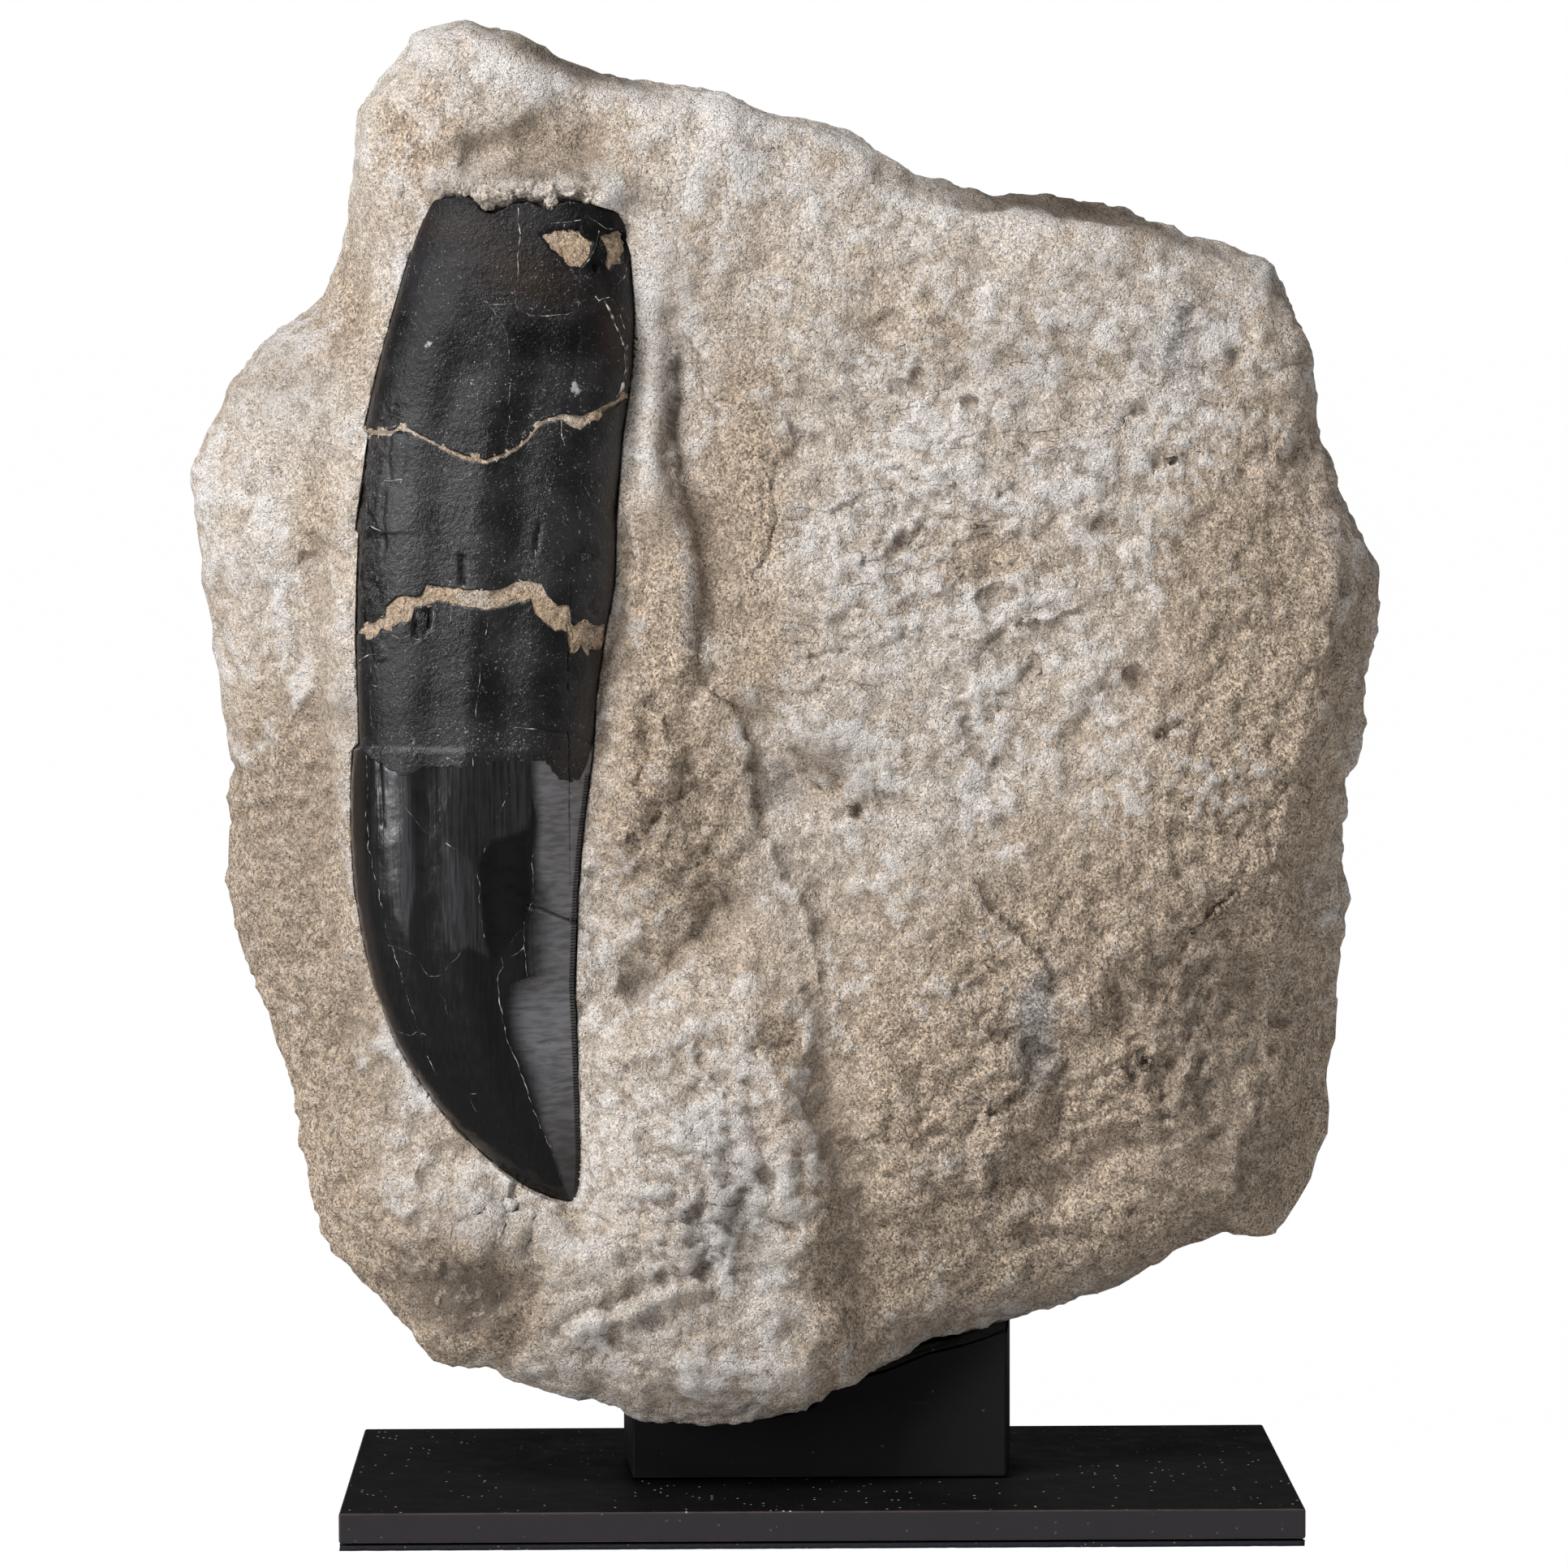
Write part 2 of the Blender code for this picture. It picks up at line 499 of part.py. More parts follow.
def make_slab(name, width, depth, bottom, top, collection):
    bm = bmesh.new()
    bmesh.ops.create_cube(bm, size=1.0)
    bmesh.ops.scale(bm, vec=(width, depth, top - bottom), verts=bm.verts)
    bmesh.ops.translate(bm, vec=(0.0, 0.0, (bottom + top) / 2.0), verts=bm.verts)
    return mesh_object(bm, name, collection)


def make_base(collection):
    plate = make_slab("base_plate", PLATE_WIDTH, PLATE_DEPTH, PAD_HEIGHT + GAP, PLATE_TOP, collection)
    bevel(plate, PLATE_ROUNDING)
    pad = make_slab("base_pad", PLATE_WIDTH - 2 * PAD_INSET, PLATE_DEPTH - 2 * PAD_INSET, 0.0, PAD_HEIGHT,
                    collection)
    return plate, pad


def give(item, name, finish):
    item.data.materials.clear()
    item.data.materials.append(make_material(name, finish))


def build():
    clear_scene()
    parts = new_collection("fossil_tooth_in_matrix")
    cutters = new_collection("cutters")
    stone = make_stone(parts)
    block = make_block(stone, parts, cutters)
    bedding = make_bedding(stone, parts, cutters)
    fragments = make_fragments(parts, cutters)
    add_seam(stone, cutters)
    cut_pocket(stone, fragments, cutters)
    plate, pad = make_base(parts)
    give(stone, "sandstone", SANDSTONE)
    give(fragments[0], "root_top", ROOT_BLACK)
    give(fragments[1], "root_middle", ROOT_BLACK)
    give(fragments[2], "crown_enamel", ENAMEL_BLACK)
    give(block, "satin_black", SATIN_BLACK)
    give(bedding, "bedding_black", BEDDING_BLACK)
    give(plate, "plate_black", SATIN_BLACK)
    give(pad, "pad_black", PAD_BLACK)


build()
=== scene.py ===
# %% [markdown]
# # A fossil tooth in its sandstone
#
# The object is a black allosaurus tooth, still lying in the piece of pale sandstone that it was found in. The
# stone stands on a black block and base plate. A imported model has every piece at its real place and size, and
# this lesson gives each piece its fine shape and its finish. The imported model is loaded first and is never
# changed. Its box is kept, because the finished pieces have to stay inside it. The noise gets a fixed seed,
# so that every run makes the same pieces.

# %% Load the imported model
import math

import bmesh
import bpy
import numpy as np
from mathutils import Matrix, Vector, noise


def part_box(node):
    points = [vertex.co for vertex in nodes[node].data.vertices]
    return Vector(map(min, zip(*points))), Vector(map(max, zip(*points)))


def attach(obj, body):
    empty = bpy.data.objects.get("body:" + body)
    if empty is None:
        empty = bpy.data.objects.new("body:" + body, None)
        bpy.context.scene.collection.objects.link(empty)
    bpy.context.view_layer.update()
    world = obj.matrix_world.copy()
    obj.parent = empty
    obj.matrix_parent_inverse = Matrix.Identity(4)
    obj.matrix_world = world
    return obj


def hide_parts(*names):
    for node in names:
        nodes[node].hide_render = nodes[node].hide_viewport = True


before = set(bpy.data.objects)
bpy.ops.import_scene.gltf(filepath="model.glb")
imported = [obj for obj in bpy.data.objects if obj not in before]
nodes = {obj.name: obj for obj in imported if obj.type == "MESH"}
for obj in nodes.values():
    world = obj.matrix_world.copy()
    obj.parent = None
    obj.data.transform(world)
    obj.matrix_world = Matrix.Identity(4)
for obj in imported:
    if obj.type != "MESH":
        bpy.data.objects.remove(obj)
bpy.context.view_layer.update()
MM = 0.001
NOISE_SEED = 7
noise.seed_set(NOISE_SEED)

# %% [markdown]
# ## The camera
#
# A photograph fixes its camera when the real object has straight edges. Here the plate and the block have
# them: lines that run straight back on them meet at one point of the picture, which gives the direction, and
# the plate's corners give the distance. The lens is long and nothing is shifted, so the three axes of the
# world, written in the camera's own axes, are all that the camera's turn needs.

# %% Camera
PICTURE_WIDTH = 1932
SENSOR_WIDTH = 36.0
FOCAL_LENGTH = 8000.0
BACK_MEETS_AT = (869, 409)
CAMERA_ROLL = 0.0038
CAMERA_PLACE = (-0.013921, -0.823939, 0.149892)

picture_middle = PICTURE_WIDTH / 2
back = Vector((BACK_MEETS_AT[0] - picture_middle, picture_middle - BACK_MEETS_AT[1], -FOCAL_LENGTH))
back.normalize()
up = Vector((-math.tan(CAMERA_ROLL), 1.0, 0.0))
up = (up - back * up.dot(back)).normalized()
camera_data = bpy.data.cameras.new("camera")
camera_data.sensor_width = SENSOR_WIDTH
camera_data.lens = SENSOR_WIDTH * FOCAL_LENGTH / PICTURE_WIDTH
camera = bpy.data.objects.new("camera", camera_data)
bpy.context.scene.collection.objects.link(camera)
camera.matrix_world = Matrix.Translation(CAMERA_PLACE) @ Matrix((back.cross(up), back, up)).to_4x4()
bpy.context.scene.camera = camera
print("lens in mm:", round(camera_data.lens, 1))

# %% [markdown]
# ## Studio light
#
# The stone is modelled by one soft light from the upper left, in front of it. A tall strip further round to
# the left draws the highlight down the tooth. A weaker light on the right shows on the flat band of the
# crown, and the room itself gives the rest. All are area lights, so the polished tooth mirrors them softly.

# %% Lights
LIGHTS = (
    ("key", (-0.48, -0.62, 0.94), 0.36, 0.40, 14.0),
    ("strip", (-0.92, -0.74, 0.20), 0.26, 0.8, 8.6),
    ("right", (1.00, -0.16, 0.16), 0.5, 0.9, 1.7),
)
AIM = Vector((0.0, 0.0, 0.10))


def area_light(name, place, width, height, power):
    data = bpy.data.lights.new(name, "AREA")
    data.shape = "RECTANGLE"
    data.size, data.size_y, data.energy = width, height, power
    light = bpy.data.objects.new(name, data)
    bpy.context.scene.collection.objects.link(light)
    light.location = place
    light.rotation_euler = (AIM - Vector(place)).to_track_quat("-Z", "Y").to_euler()


for row in LIGHTS:
    area_light(*row)
bpy.context.scene.view_settings.view_transform = "Standard"
print("lights:", [row[0] for row in LIGHTS])

# %% [markdown]
# ## Small helpers for shader nodes
#
# Every finish below is a tree of shader nodes. Written out in full, each node takes four or five lines, so a
# few helpers make a node, set or link its inputs, and give back the socket that the next one needs.

# %% Shader helpers
def add(tree, kind, inputs=None, **settings):
    """A new shader node with its settings, and its inputs set or linked."""
    item = tree.nodes.new("ShaderNode" + kind)
    for name, value in settings.items():
        setattr(item, name, value)
    for name, value in (inputs or {}).items():
        if isinstance(value, bpy.types.NodeSocket):
            tree.links.new(value, item.inputs[name])
        else:
            item.inputs[name].default_value = value
    return item


def maths(tree, operation, first, second=0.0):
    return add(tree, "Math", {0: first, 1: second}, operation=operation).outputs[0]


def plus(tree, first, *others):
    for other in others:
        first = maths(tree, "ADD", first, other)
    return first


def times(tree, first, *others):
    for other in others:
        first = maths(tree, "MULTIPLY", first, other)
    return first


def minus(tree, first, second):
    return maths(tree, "SUBTRACT", first, second)


def blend(tree, share, first, second, kind="MIX"):
    """Two colours mixed by a share."""
    mix = add(tree, "Mix", {0: share, 6: first, 7: second}, data_type="RGBA", blend_type=kind)
    return mix.outputs[2]


def coats(tree, colour, *layers):
    """A colour with other colours laid over it, each by its share."""
    for share, paint in layers:
        colour = blend(tree, share, colour, paint)
    return colour


def rising(tree, value, low, high, start=0.0, end=1.0):
    """Rises smoothly from start to end while the value goes from low to high."""
    inputs = {"Value": value, "From Min": low, "From Max": high, "To Min": start, "To Max": end}
    return add(tree, "MapRange", inputs, interpolation_type="SMOOTHSTEP").outputs[0]


def place_of(tree, scale=(1.0, 1.0, 1.0), turn=(0.0, 0.0, 0.0)):
    """The place on the piece, stretched and turned."""
    place = add(tree, "TexCoord").outputs["Object"]
    return add(tree, "Mapping", {"Vector": place, "Scale": scale, "Rotation": turn}).outputs[0]


def clouds(tree, size, detail=3.0, place=None, roughness=0.55):
    """Soft noise from 0 to 1, with features of one size."""
    inputs = {"Vector": place or place_of(tree), "Scale": 1.0 / size, "Detail": detail,
              "Roughness": roughness}
    return add(tree, "TexNoise", inputs).outputs[0]


def measured(tree, name):
    """A value that the mesh carries at each of its points."""
    return add(tree, "Attribute", attribute_name=name).outputs["Fac"]


def bump(tree, height, distance, before=None, strength=1.0):
    inputs = {"Height": height, "Distance": distance, "Strength": strength}
    if before is not None:
        inputs["Normal"] = before
    return add(tree, "Bump", inputs).outputs[0]


def new_group(name, inputs, outputs):
    """A shader node group: its tree, what comes in and what goes out."""
    group = bpy.data.node_groups.new(name, "ShaderNodeTree")
    for label, kind, value in inputs:
        group.interface.new_socket(label, in_out="INPUT", socket_type=kind).default_value = value
    for label in outputs:
        group.interface.new_socket(label, in_out="OUTPUT", socket_type="NodeSocketFloat")
    return group, group.nodes.new("NodeGroupInput").outputs, group.nodes.new("NodeGroupOutput").inputs


def give(group, going, values):
    """Links a group's results to its outputs."""
    for label, value in values.items():
        group.links.new(value, going[label])


def new_material(name, **values):
    """A material with its Principled shader, whose plain values are set on its own sockets."""
    material = bpy.data.materials.new(name)
    material.use_nodes = True
    tree = material.node_tree
    shader = tree.nodes["Principled BSDF"]
    for label, value in values.items():
        shader.inputs[label.replace("_", " ")].default_value = value
    return material, tree, shader


def use(tree, shader, **sockets):
    """Links sockets to the shader's inputs."""
    for label, socket in sockets.items():
        tree.links.new(socket, shader.inputs[label.replace("_", " ")])


# %% [markdown]
# ## Floor and room
#
# The floor is a plain pale sheet, lit from below for the camera as on a light table. Polished black would
# mirror it and turn grey, so mirrored rays see it darker, as if a dark cloth lay in front of the object. The
# room is a world colour: what the camera sees of it is white paper, and the light that it gives to the object
# is weaker, so that the key light can model the stone.

# %% Floor and room
FLOOR_RADIUS = 60.0
ROOM_LIGHT = 0.10
FLOOR_GLOW = 0.995
PAPER_WHITE = 1.0
MIRRORED_DARKER = 0.80

bm = bmesh.new()
bmesh.ops.create_circle(bm, cap_ends=True, segments=64, radius=FLOOR_RADIUS)
floor_mesh = bpy.data.meshes.new("floor")
bm.to_mesh(floor_mesh)
bm.free()
floor = bpy.data.objects.new("floor", floor_mesh)
bpy.context.scene.collection.objects.link(floor)
floor_material, tree, shader = new_material("pale_floor", Roughness=0.8)
paper = blend(tree, clouds(tree, 0.02), (0.84, 0.84, 0.84, 1.0), (0.87, 0.87, 0.86, 1.0))
use(tree, shader, Base_Color=paper)
glow = add(tree, "Emission", {"Color": (1.0, 1.0, 1.0, 1.0), "Strength": 1.0})
seen = times(tree, add(tree, "LightPath").outputs["Is Camera Ray"], FLOOR_GLOW)
mirrored = times(tree, add(tree, "LightPath").outputs["Is Glossy Ray"], MIRRORED_DARKER)
cloth = add(tree, "BsdfDiffuse", {"Color": (0.01, 0.01, 0.01, 1.0)})
sheet = add(tree, "MixShader", {0: mirrored, 1: shader.outputs[0], 2: cloth.outputs[0]})
lit = add(tree, "MixShader", {0: seen, 1: sheet.outputs[0], 2: glow.outputs[0]})
tree.links.new(lit.outputs[0], tree.nodes["Material Output"].inputs["Surface"])
floor_mesh.materials.append(floor_material)

world = bpy.data.worlds.new("room")
world.use_nodes = True
bpy.context.scene.world = world
tree = world.node_tree
room = tree.nodes["Background"]
room.inputs["Strength"].default_value = ROOM_LIGHT
room.inputs["Color"].default_value = (1.0, 1.0, 1.0, 1.0)
paper = add(tree, "Background", {"Color": (1.0, 1.0, 1.0, 1.0), "Strength": PAPER_WHITE})
seen = add(tree, "LightPath").outputs["Is Camera Ray"]
both = add(tree, "MixShader", {0: seen, 1: room.outputs[0], 2: paper.outputs[0]})
tree.links.new(both.outputs[0], tree.nodes["World Output"].inputs["Surface"])
print("room light:", ROOM_LIGHT)

# %% [markdown]
# ## Helpers for meshes
#
# All shaping is done on bmesh points, with whole arrays of them at once. Each new piece ends in the same way:
# its object stays at the origin, with its place in its mesh, and it rides on the object's one body.

# %% Mesh helpers
def points_of(bm):
    return np.array([vert.co for vert in bm.verts])


def normals_of(bm):
    bm.normal_update()
    return np.array([vert.normal for vert in bm.verts])


def move_to(bm, points):
    for vert, point in zip(bm.verts, points):
        vert.co = point


def keep_values(item, **values):
    """Writes values of the mesh's points, for the materials to read."""
    for name, column in values.items():
        layer = item.data.attributes.new(name, "FLOAT", "POINT")
        layer.data.foreach_set("value", np.asarray(column, dtype=np.float32))


def finish_piece(bm, name, material, slot, *replaced):
    """Makes the bmesh a smooth piece of the object, with its finish."""
    mesh = bpy.data.meshes.new(name)
    bm.to_mesh(mesh)
    bm.free()
    mesh.shade_smooth()
    mesh.materials.append(material)
    item = bpy.data.objects.new(name, mesh)
    bpy.context.scene.collection.objects.link(item)
    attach(item, "root")
    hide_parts(*replaced)
    print(f"{name}: {len(mesh.polygons)} faces")
    return item


def level_ends(value):
    """Runs from 0 to 1 with level ends."""
    share = np.clip(value, 0.0, 1.0)
    return share * share * (3.0 - 2.0 * share)


def lumps(points, size, octaves=3, roughness=0.9):
    """Fractal noise at each point, with lumps of one size."""
    return np.array([noise.fractal(Vector(point) / size, roughness, 2.0, octaves) for point in points])


# %% [markdown]
# ## Distances in the front view
#
# Most of the stone's forms are drawn on its front: a valley is a line of points with a width, a shelf is an
# outline with a sloping edge. Each form needs the distance from every point of the mesh to its line, and an
# outline also needs to know which points are inside. Lists are in millimetres, across and up.

# %% Distances
def nearest_on_line(x, z, points):
    """The distance to a line, the nearest place on it, its side, and the share of its length there."""
    nearest = np.full(len(x), np.inf)
    near_x, near_z, side, share = (np.zeros(len(x)) for _ in range(4))
    points = np.array(points) * MM
    lengths = np.concatenate([[0.0], np.cumsum(np.hypot(*np.diff(points, axis=0).T))])
    for start, (ax, az), (bx, bz) in zip(lengths, points, points[1:]):
        run = math.hypot(bx - ax, bz - az)
        along = np.clip(((x - ax) * (bx - ax) + (z - az) * (bz - az)) / run ** 2, 0.0, 1.0)
        on_x, on_z = ax + along * (bx - ax), az + along * (bz - az)
        away = np.hypot(x - on_x, z - on_z)
        left_hand = np.sign((bx - ax) * (z - az) - (bz - az) * (x - ax))
        closer = away < nearest
        nearest = np.where(closer, away, nearest)
        near_x, near_z = np.where(closer, on_x, near_x), np.where(closer, on_z, near_z)
        side = np.where(closer, left_hand, side)
        share = np.where(closer, (start + along * run) / lengths[-1], share)
    return nearest, near_x, near_z, side, share


def inside_outline(x, z, points):
    """Which places lie inside a closed outline."""
    inside = np.zeros(len(x), dtype=bool)
    points = np.array(points) * MM
    for (ax, az), (bx, bz) in zip(points, np.roll(points, -1, axis=0)):
        if az != bz:
            crosses = (z > min(az, bz)) & (z <= max(az, bz))
            inside ^= crosses & (x < ax + (z - az) * (bx - ax) / (bz - az))
    return inside


def oval(x, z, middle_x, middle_z, half_width, half_height, turn):
    """1 at the middle of a turned oval, falling softly to 0 outside it."""
    angle = math.radians(turn)
    across = (x - middle_x * MM) * math.cos(angle) + (z - middle_z * MM) * math.sin(angle)
    along = (z - middle_z * MM) * math.cos(angle) - (x - middle_x * MM) * math.sin(angle)
    return np.exp(-(across / (half_width * MM)) ** 2 - (along / (half_height * MM)) ** 2)


def areas(points, rows):
    """The ovals of a table added up at each point; the last number of a row is its strength."""
    return sum(row[-1] * oval(points[:, 0], points[:, 2], *row[:-1]) for row in rows)


# %% [markdown]
# ## The tooth's form
#
# The tooth is long and flat, with a blunt rounded back on the left and a sharp edge on the right. Its two
# edges are measured at a few heights. Between them the front swells like a dome. On the crown a flat band
# runs along the sharp edge, and shallow flutes run down the root. The stone needs the same form for the
# pocket that the tooth lies in, so it comes first.

# %% Tooth form
TOOTH_EDGES = (
    (173, -47, -25), (165.9, -48, -23.8), (159.2, -50.3, -23.1), (152.1, -52.4, -22.6),
    (145.7, -54.2, -22.9), (138, -56, -24), (137.6, -55.4, -24.1), (126.2, -57, -25), (125.6, -57.1, -25),
    (125.3, -56.7, -25), (119, -57, -25.2), (111.7, -57.2, -26.6), (104.9, -57, -27.6),
    (99.1, -56.9, -27.9), (98.6, -57.7, -27.9), (93.6, -58, -28.5), (87.3, -58, -29.3),
    (80.9, -57.6, -29.9), (73.9, -56.4, -30.2), (69, -55.3, -30.4), (61.9, -52.6, -30.1),
    (58.4, -50.6, -30), (54.8, -48.1, -29.9), (51.5, -45.5, -29.8), (48.9, -42.7, -29.7),
    (46.5, -40.1, -29.7), (44.1, -36.9, -29.9), (42.6, -33.7, -30.3), (42, -31.5, -30.8),
)
TOOTH_MIDDLE_DEPTH = -21.5 * MM
TOOTH_THICKNESS = 16.0 * MM
THICKNESS_TO_WIDTH = 0.54
TOP_THINNING = ((42, 1), (150, 1), (158, 0.9), (166, 0.72))
LEFT_SQUARENESS = ((42, 2), (94, 2.05), (104, 2.4), (166, 2.5))
RIGHT_SQUARENESS = ((42, 2), (95, 2), (105, 2.6), (166, 2.6))
CREASE = (
    (42, 0.42), (48, 0.38), (50, 0.37), (53, 0.36), (56.5, 0.34), (60.3, 0.29), (62.8, 0.25), (66.7, 0.26),
    (69.8, 0.34), (70.6, 0.53), (77.8, 0.53), (80, 0.59), (90.5, 0.57), (97, 0.48),
)
BAND_FADE = (96, 101)
BAND_EDGE = 0.16
FLUTES = (
    (-0.04, 0.12, 0.34), (-0.36, 0.13, -0.3), (0.26, 0.12, -0.28), (0.52, 0.1, 0.14),
)
FLUTE_FADE = (40, 70, 140, 160)


def by_height(rows, height, column=1):
    rows = np.array(sorted(rows))
    return np.interp(height, rows[:, 0] * MM, rows[:, column])


def tooth_outline(height):
    """The tooth's middle and its half width at each height."""
    left, right = by_height(TOOTH_EDGES, height, 1) * MM, by_height(TOOTH_EDGES, height, 2) * MM
    return (left + right) / 2.0, (right - left) / 2.0


def dome(across, height):
    left, right = by_height(LEFT_SQUARENESS, height), by_height(RIGHT_SQUARENESS, height)
    squareness = np.where(across < 0.0, left, right)
    return np.maximum(1.0 - np.abs(across) ** squareness, 0.0) ** (1.0 / squareness)


def half_thickness(height):
    width = 2.0 * tooth_outline(height)[1]
    return np.minimum(TOOTH_THICKNESS, width * THICKNESS_TO_WIDTH) / 2.0 * by_height(TOP_THINNING, height)


def front_swelling(across, height):
    """How far the front stands out of the tooth's middle; across runs from -1 at the left edge to 1."""
    round_front = dome(across, height)
    crease = by_height(CREASE, height)
    band = BAND_EDGE + (dome(crease, height) - BAND_EDGE) * (1.0 - across) / (1.0 - crease)
    band_sheen = np.where(across > crease, np.minimum(round_front, band), round_front)
    in_crown = 1.0 - level_ends((height / MM - BAND_FADE[0]) / (BAND_FADE[1] - BAND_FADE[0]))
    flutes = sum(rise * MM * np.exp(-((across - middle) / width) ** 2) for middle, width, rise in FLUTES)
    low, from_low, from_high, high = FLUTE_FADE
    fluted = level_ends((height / MM - low) / (from_low - low))
    fluted = fluted * level_ends((high - height / MM) / (high - from_high))
    return half_thickness(height) * (round_front + in_crown * (band_sheen - round_front)) + flutes * fluted


print("tooth is", round(TOOTH_EDGES[1][0] - TOOTH_EDGES[-1][0], 1), "mm long")

# %% [markdown]
# ## The breaks
#
# The fossil has cracked right across in two places, and the sand that got in has turned to stone with the
# rest. The upper end of the root is a third ragged line. Each break is a line across the tooth, and a piece
# of the tooth is what lies between two of them.

# %% Break lines
ROOT_TOP = (
    (-60, 165.7), (-46, 166.2), (-44, 166.7), (-42.2, 166.4), (-41.5, 164.9), (-39.6, 164.3),
    (-37.6, 165.5), (-35.6, 165.9), (-32.6, 164.5), (-31.8, 165.7), (-29.6, 165.9), (-24.7, 164.5),
    (-18, 163.9),
)
NARROW_BREAK = (
    (-64, 137.9), (-52.5, 137.9), (-51.5, 138.5), (-49.1, 137.7), (-46.6, 136.3), (-43.6, 135),
    (-40.7, 134.3), (-38.2, 135.3), (-35.7, 137), (-34.2, 139), (-31.7, 140), (-29.2, 139.7),
    (-27.2, 140.4), (-24, 142.2), (-18, 143.2),
)
NARROW_BREAK_LOWER = (
    (-64, 137.3), (-52.5, 137.4), (-51.5, 138.1), (-49.1, 137.3), (-46.6, 135.8), (-43.6, 134.4),
    (-40.7, 133.9), (-38.2, 134.9), (-35.7, 136.6), (-34.2, 138.6), (-31.9, 139.4), (-30.9, 138.7),
    (-29.2, 138), (-27.2, 139.6), (-24, 141.5), (-18, 142.8),
)
WIDE_BREAK = (
    (-64, 113.2), (-56.9, 113.3), (-55.5, 114), (-53.6, 114.8), (-52.9, 117), (-52, 117.6), (-48.8, 117.6),
    (-48.5, 119.2), (-46.9, 118.9), (-42.4, 118.4), (-39.8, 118.4), (-37.9, 119.1), (-36.3, 119.6),
    (-33.9, 119.2), (-33.3, 117.8), (-32.2, 116.5), (-30.6, 116.5), (-30.3, 114.1), (-29, 114.5),
    (-27.7, 114), (-18, 113.6),
)
WIDE_BREAK_LOWER = (
    (-64, 112.9), (-56.9, 112.9), (-55.3, 112.1), (-54.5, 113.2), (-53.6, 114), (-50.7, 114.3),
    (-50, 114.9), (-49.7, 116.5), (-48.8, 116.4), (-46.9, 117.2), (-44.9, 116.8), (-41, 116),
    (-39.2, 116.4), (-35.4, 117.3), (-35.1, 115.7), (-33.8, 114.5), (-32.5, 113.5), (-30.9, 113.2),
    (-30.8, 110.5), (-29.6, 110.3), (-29.2, 111.3), (-28.4, 110), (-28, 110.9), (-18, 110.9),
)
TIP = ((-64, 42), (-18, 42))
RAGGED_SIZE = 1.1 * MM
RAGGED_HEIGHT = 0.22 * MM


def line_height(line, x, ragged=RAGGED_HEIGHT):
    """Height of a break at each place across the tooth, with its fine raggedness."""
    rows = np.array(line) * MM
    even = np.interp(x, rows[:, 0], rows[:, 1])
    other = rows[1, 1] * 100.0
    fine = [noise.fractal(Vector((place / RAGGED_SIZE, other, 0.0)), 0.7, 2.0, 3) for place in x]
    return even + np.array(fine) * ragged


edge_heights = [row[0] for row in TOOTH_EDGES if row[0] < 163.0]
left_edge = [(row[1], row[0]) for row in TOOTH_EDGES if row[0] in edge_heights]
right_edge = [(row[2], row[0]) for row in reversed(TOOTH_EDGES) if row[0] in edge_heights]
root_end = [point for point in reversed(ROOT_TOP) if -48.5 < point[0] < -23.0]
tooth_ring = left_edge + right_edge + root_end


def from_tooth(x, z):
    """Distance from the tooth's outline, below 0 inside it, and the nearest place on the outline."""
    away, near_x, near_z = nearest_on_line(x, z, tooth_ring + tooth_ring[:1])[:3]
    return np.where(inside_outline(x, z, tooth_ring), -away, away), near_x, near_z


print("wide break:", round(WIDE_BREAK[8][1] - WIDE_BREAK_LOWER[8][1], 1), "mm of sandstone in its middle")

# %% [markdown]
# ## The stone's outline and forms
#
# The stone is one natural piece. It could be sculpted by hand, but a sculpture can't be written down. So it
# is a ball of even triangles, pressed to the outline that the stone has in the front view. Around the rim a
# short table says where it is deepest and how square its edges are: nearly a flat face with sharp edges at
# the right, and a rounded shoulder at the left. Valleys, ridges and shelves are then drawn on the front.

# %% Stone outline and forms
STONE_OUTLINE = (
    (-43.2, 188.4), (-50.2, 186.6), (-53.2, 181.7), (-56.5, 177), (-57.5, 168.6), (-59.5, 160.2),
    (-61.5, 154.9), (-63.8, 152.3), (-68.8, 149.1), (-73.9, 143.5), (-76.5, 138.1), (-79, 132.7),
    (-78.3, 128), (-77.5, 120), (-76.3, 112), (-75.4, 104), (-74.4, 97.6), (-73.6, 94.5), (-74.8, 91.7),
    (-74, 88.9), (-74.9, 80.9), (-73.1, 73.7), (-70.4, 66.3), (-67.9, 59.6), (-65.8, 53), (-65.2, 47.1),
    (-64.3, 42.1), (-63.4, 37.5), (-61.2, 33.7), (-53.8, 27.5), (-48.7, 21.1), (-41.7, 20.5), (-35.7, 17.5),
    (-32.2, 16.3), (-28, 16.3), (-23.4, 14.3), (-17.9, 13.3), (-6.4, 13.2), (-1.7, 14.3), (1.4, 17.2),
    (5.4, 18.8), (12.8, 21.8), (24, 24.4), (36.2, 27.3), (39.6, 28.1), (45.2, 31.1), (47.9, 33.4),
    (51.4, 34.8), (57.8, 34.9), (59.3, 35.8), (63.4, 42), (65.4, 46.2), (65.7, 48.5), (65.1, 53),
    (65.5, 55.8), (66.7, 59.7), (66.7, 68.7), (68.1, 77.8), (67, 83.1), (67.2, 93), (69, 103.6),
    (70.8, 112.2), (71, 119.8), (69.7, 122.7), (66.4, 129.9), (64.1, 135.4), (62.8, 138.1), (63, 141.4),
    (61, 148), (58.9, 154.1), (56.7, 158), (52.9, 159.1), (46.9, 161), (42.1, 164), (36, 166.1),
    (22, 166.5), (12, 168.9), (6, 173.2), (1.6, 175.1), (-8.4, 177.1), (-12.3, 179.4), (-21.1, 181.1),
    (-27.8, 182.7), (-33.5, 184.6), (-39.7, 187.8),
)
STONE_MIDDLE = (-4, 100)
STONE_FRONT = -24.0
STONE_BACK = 27.0

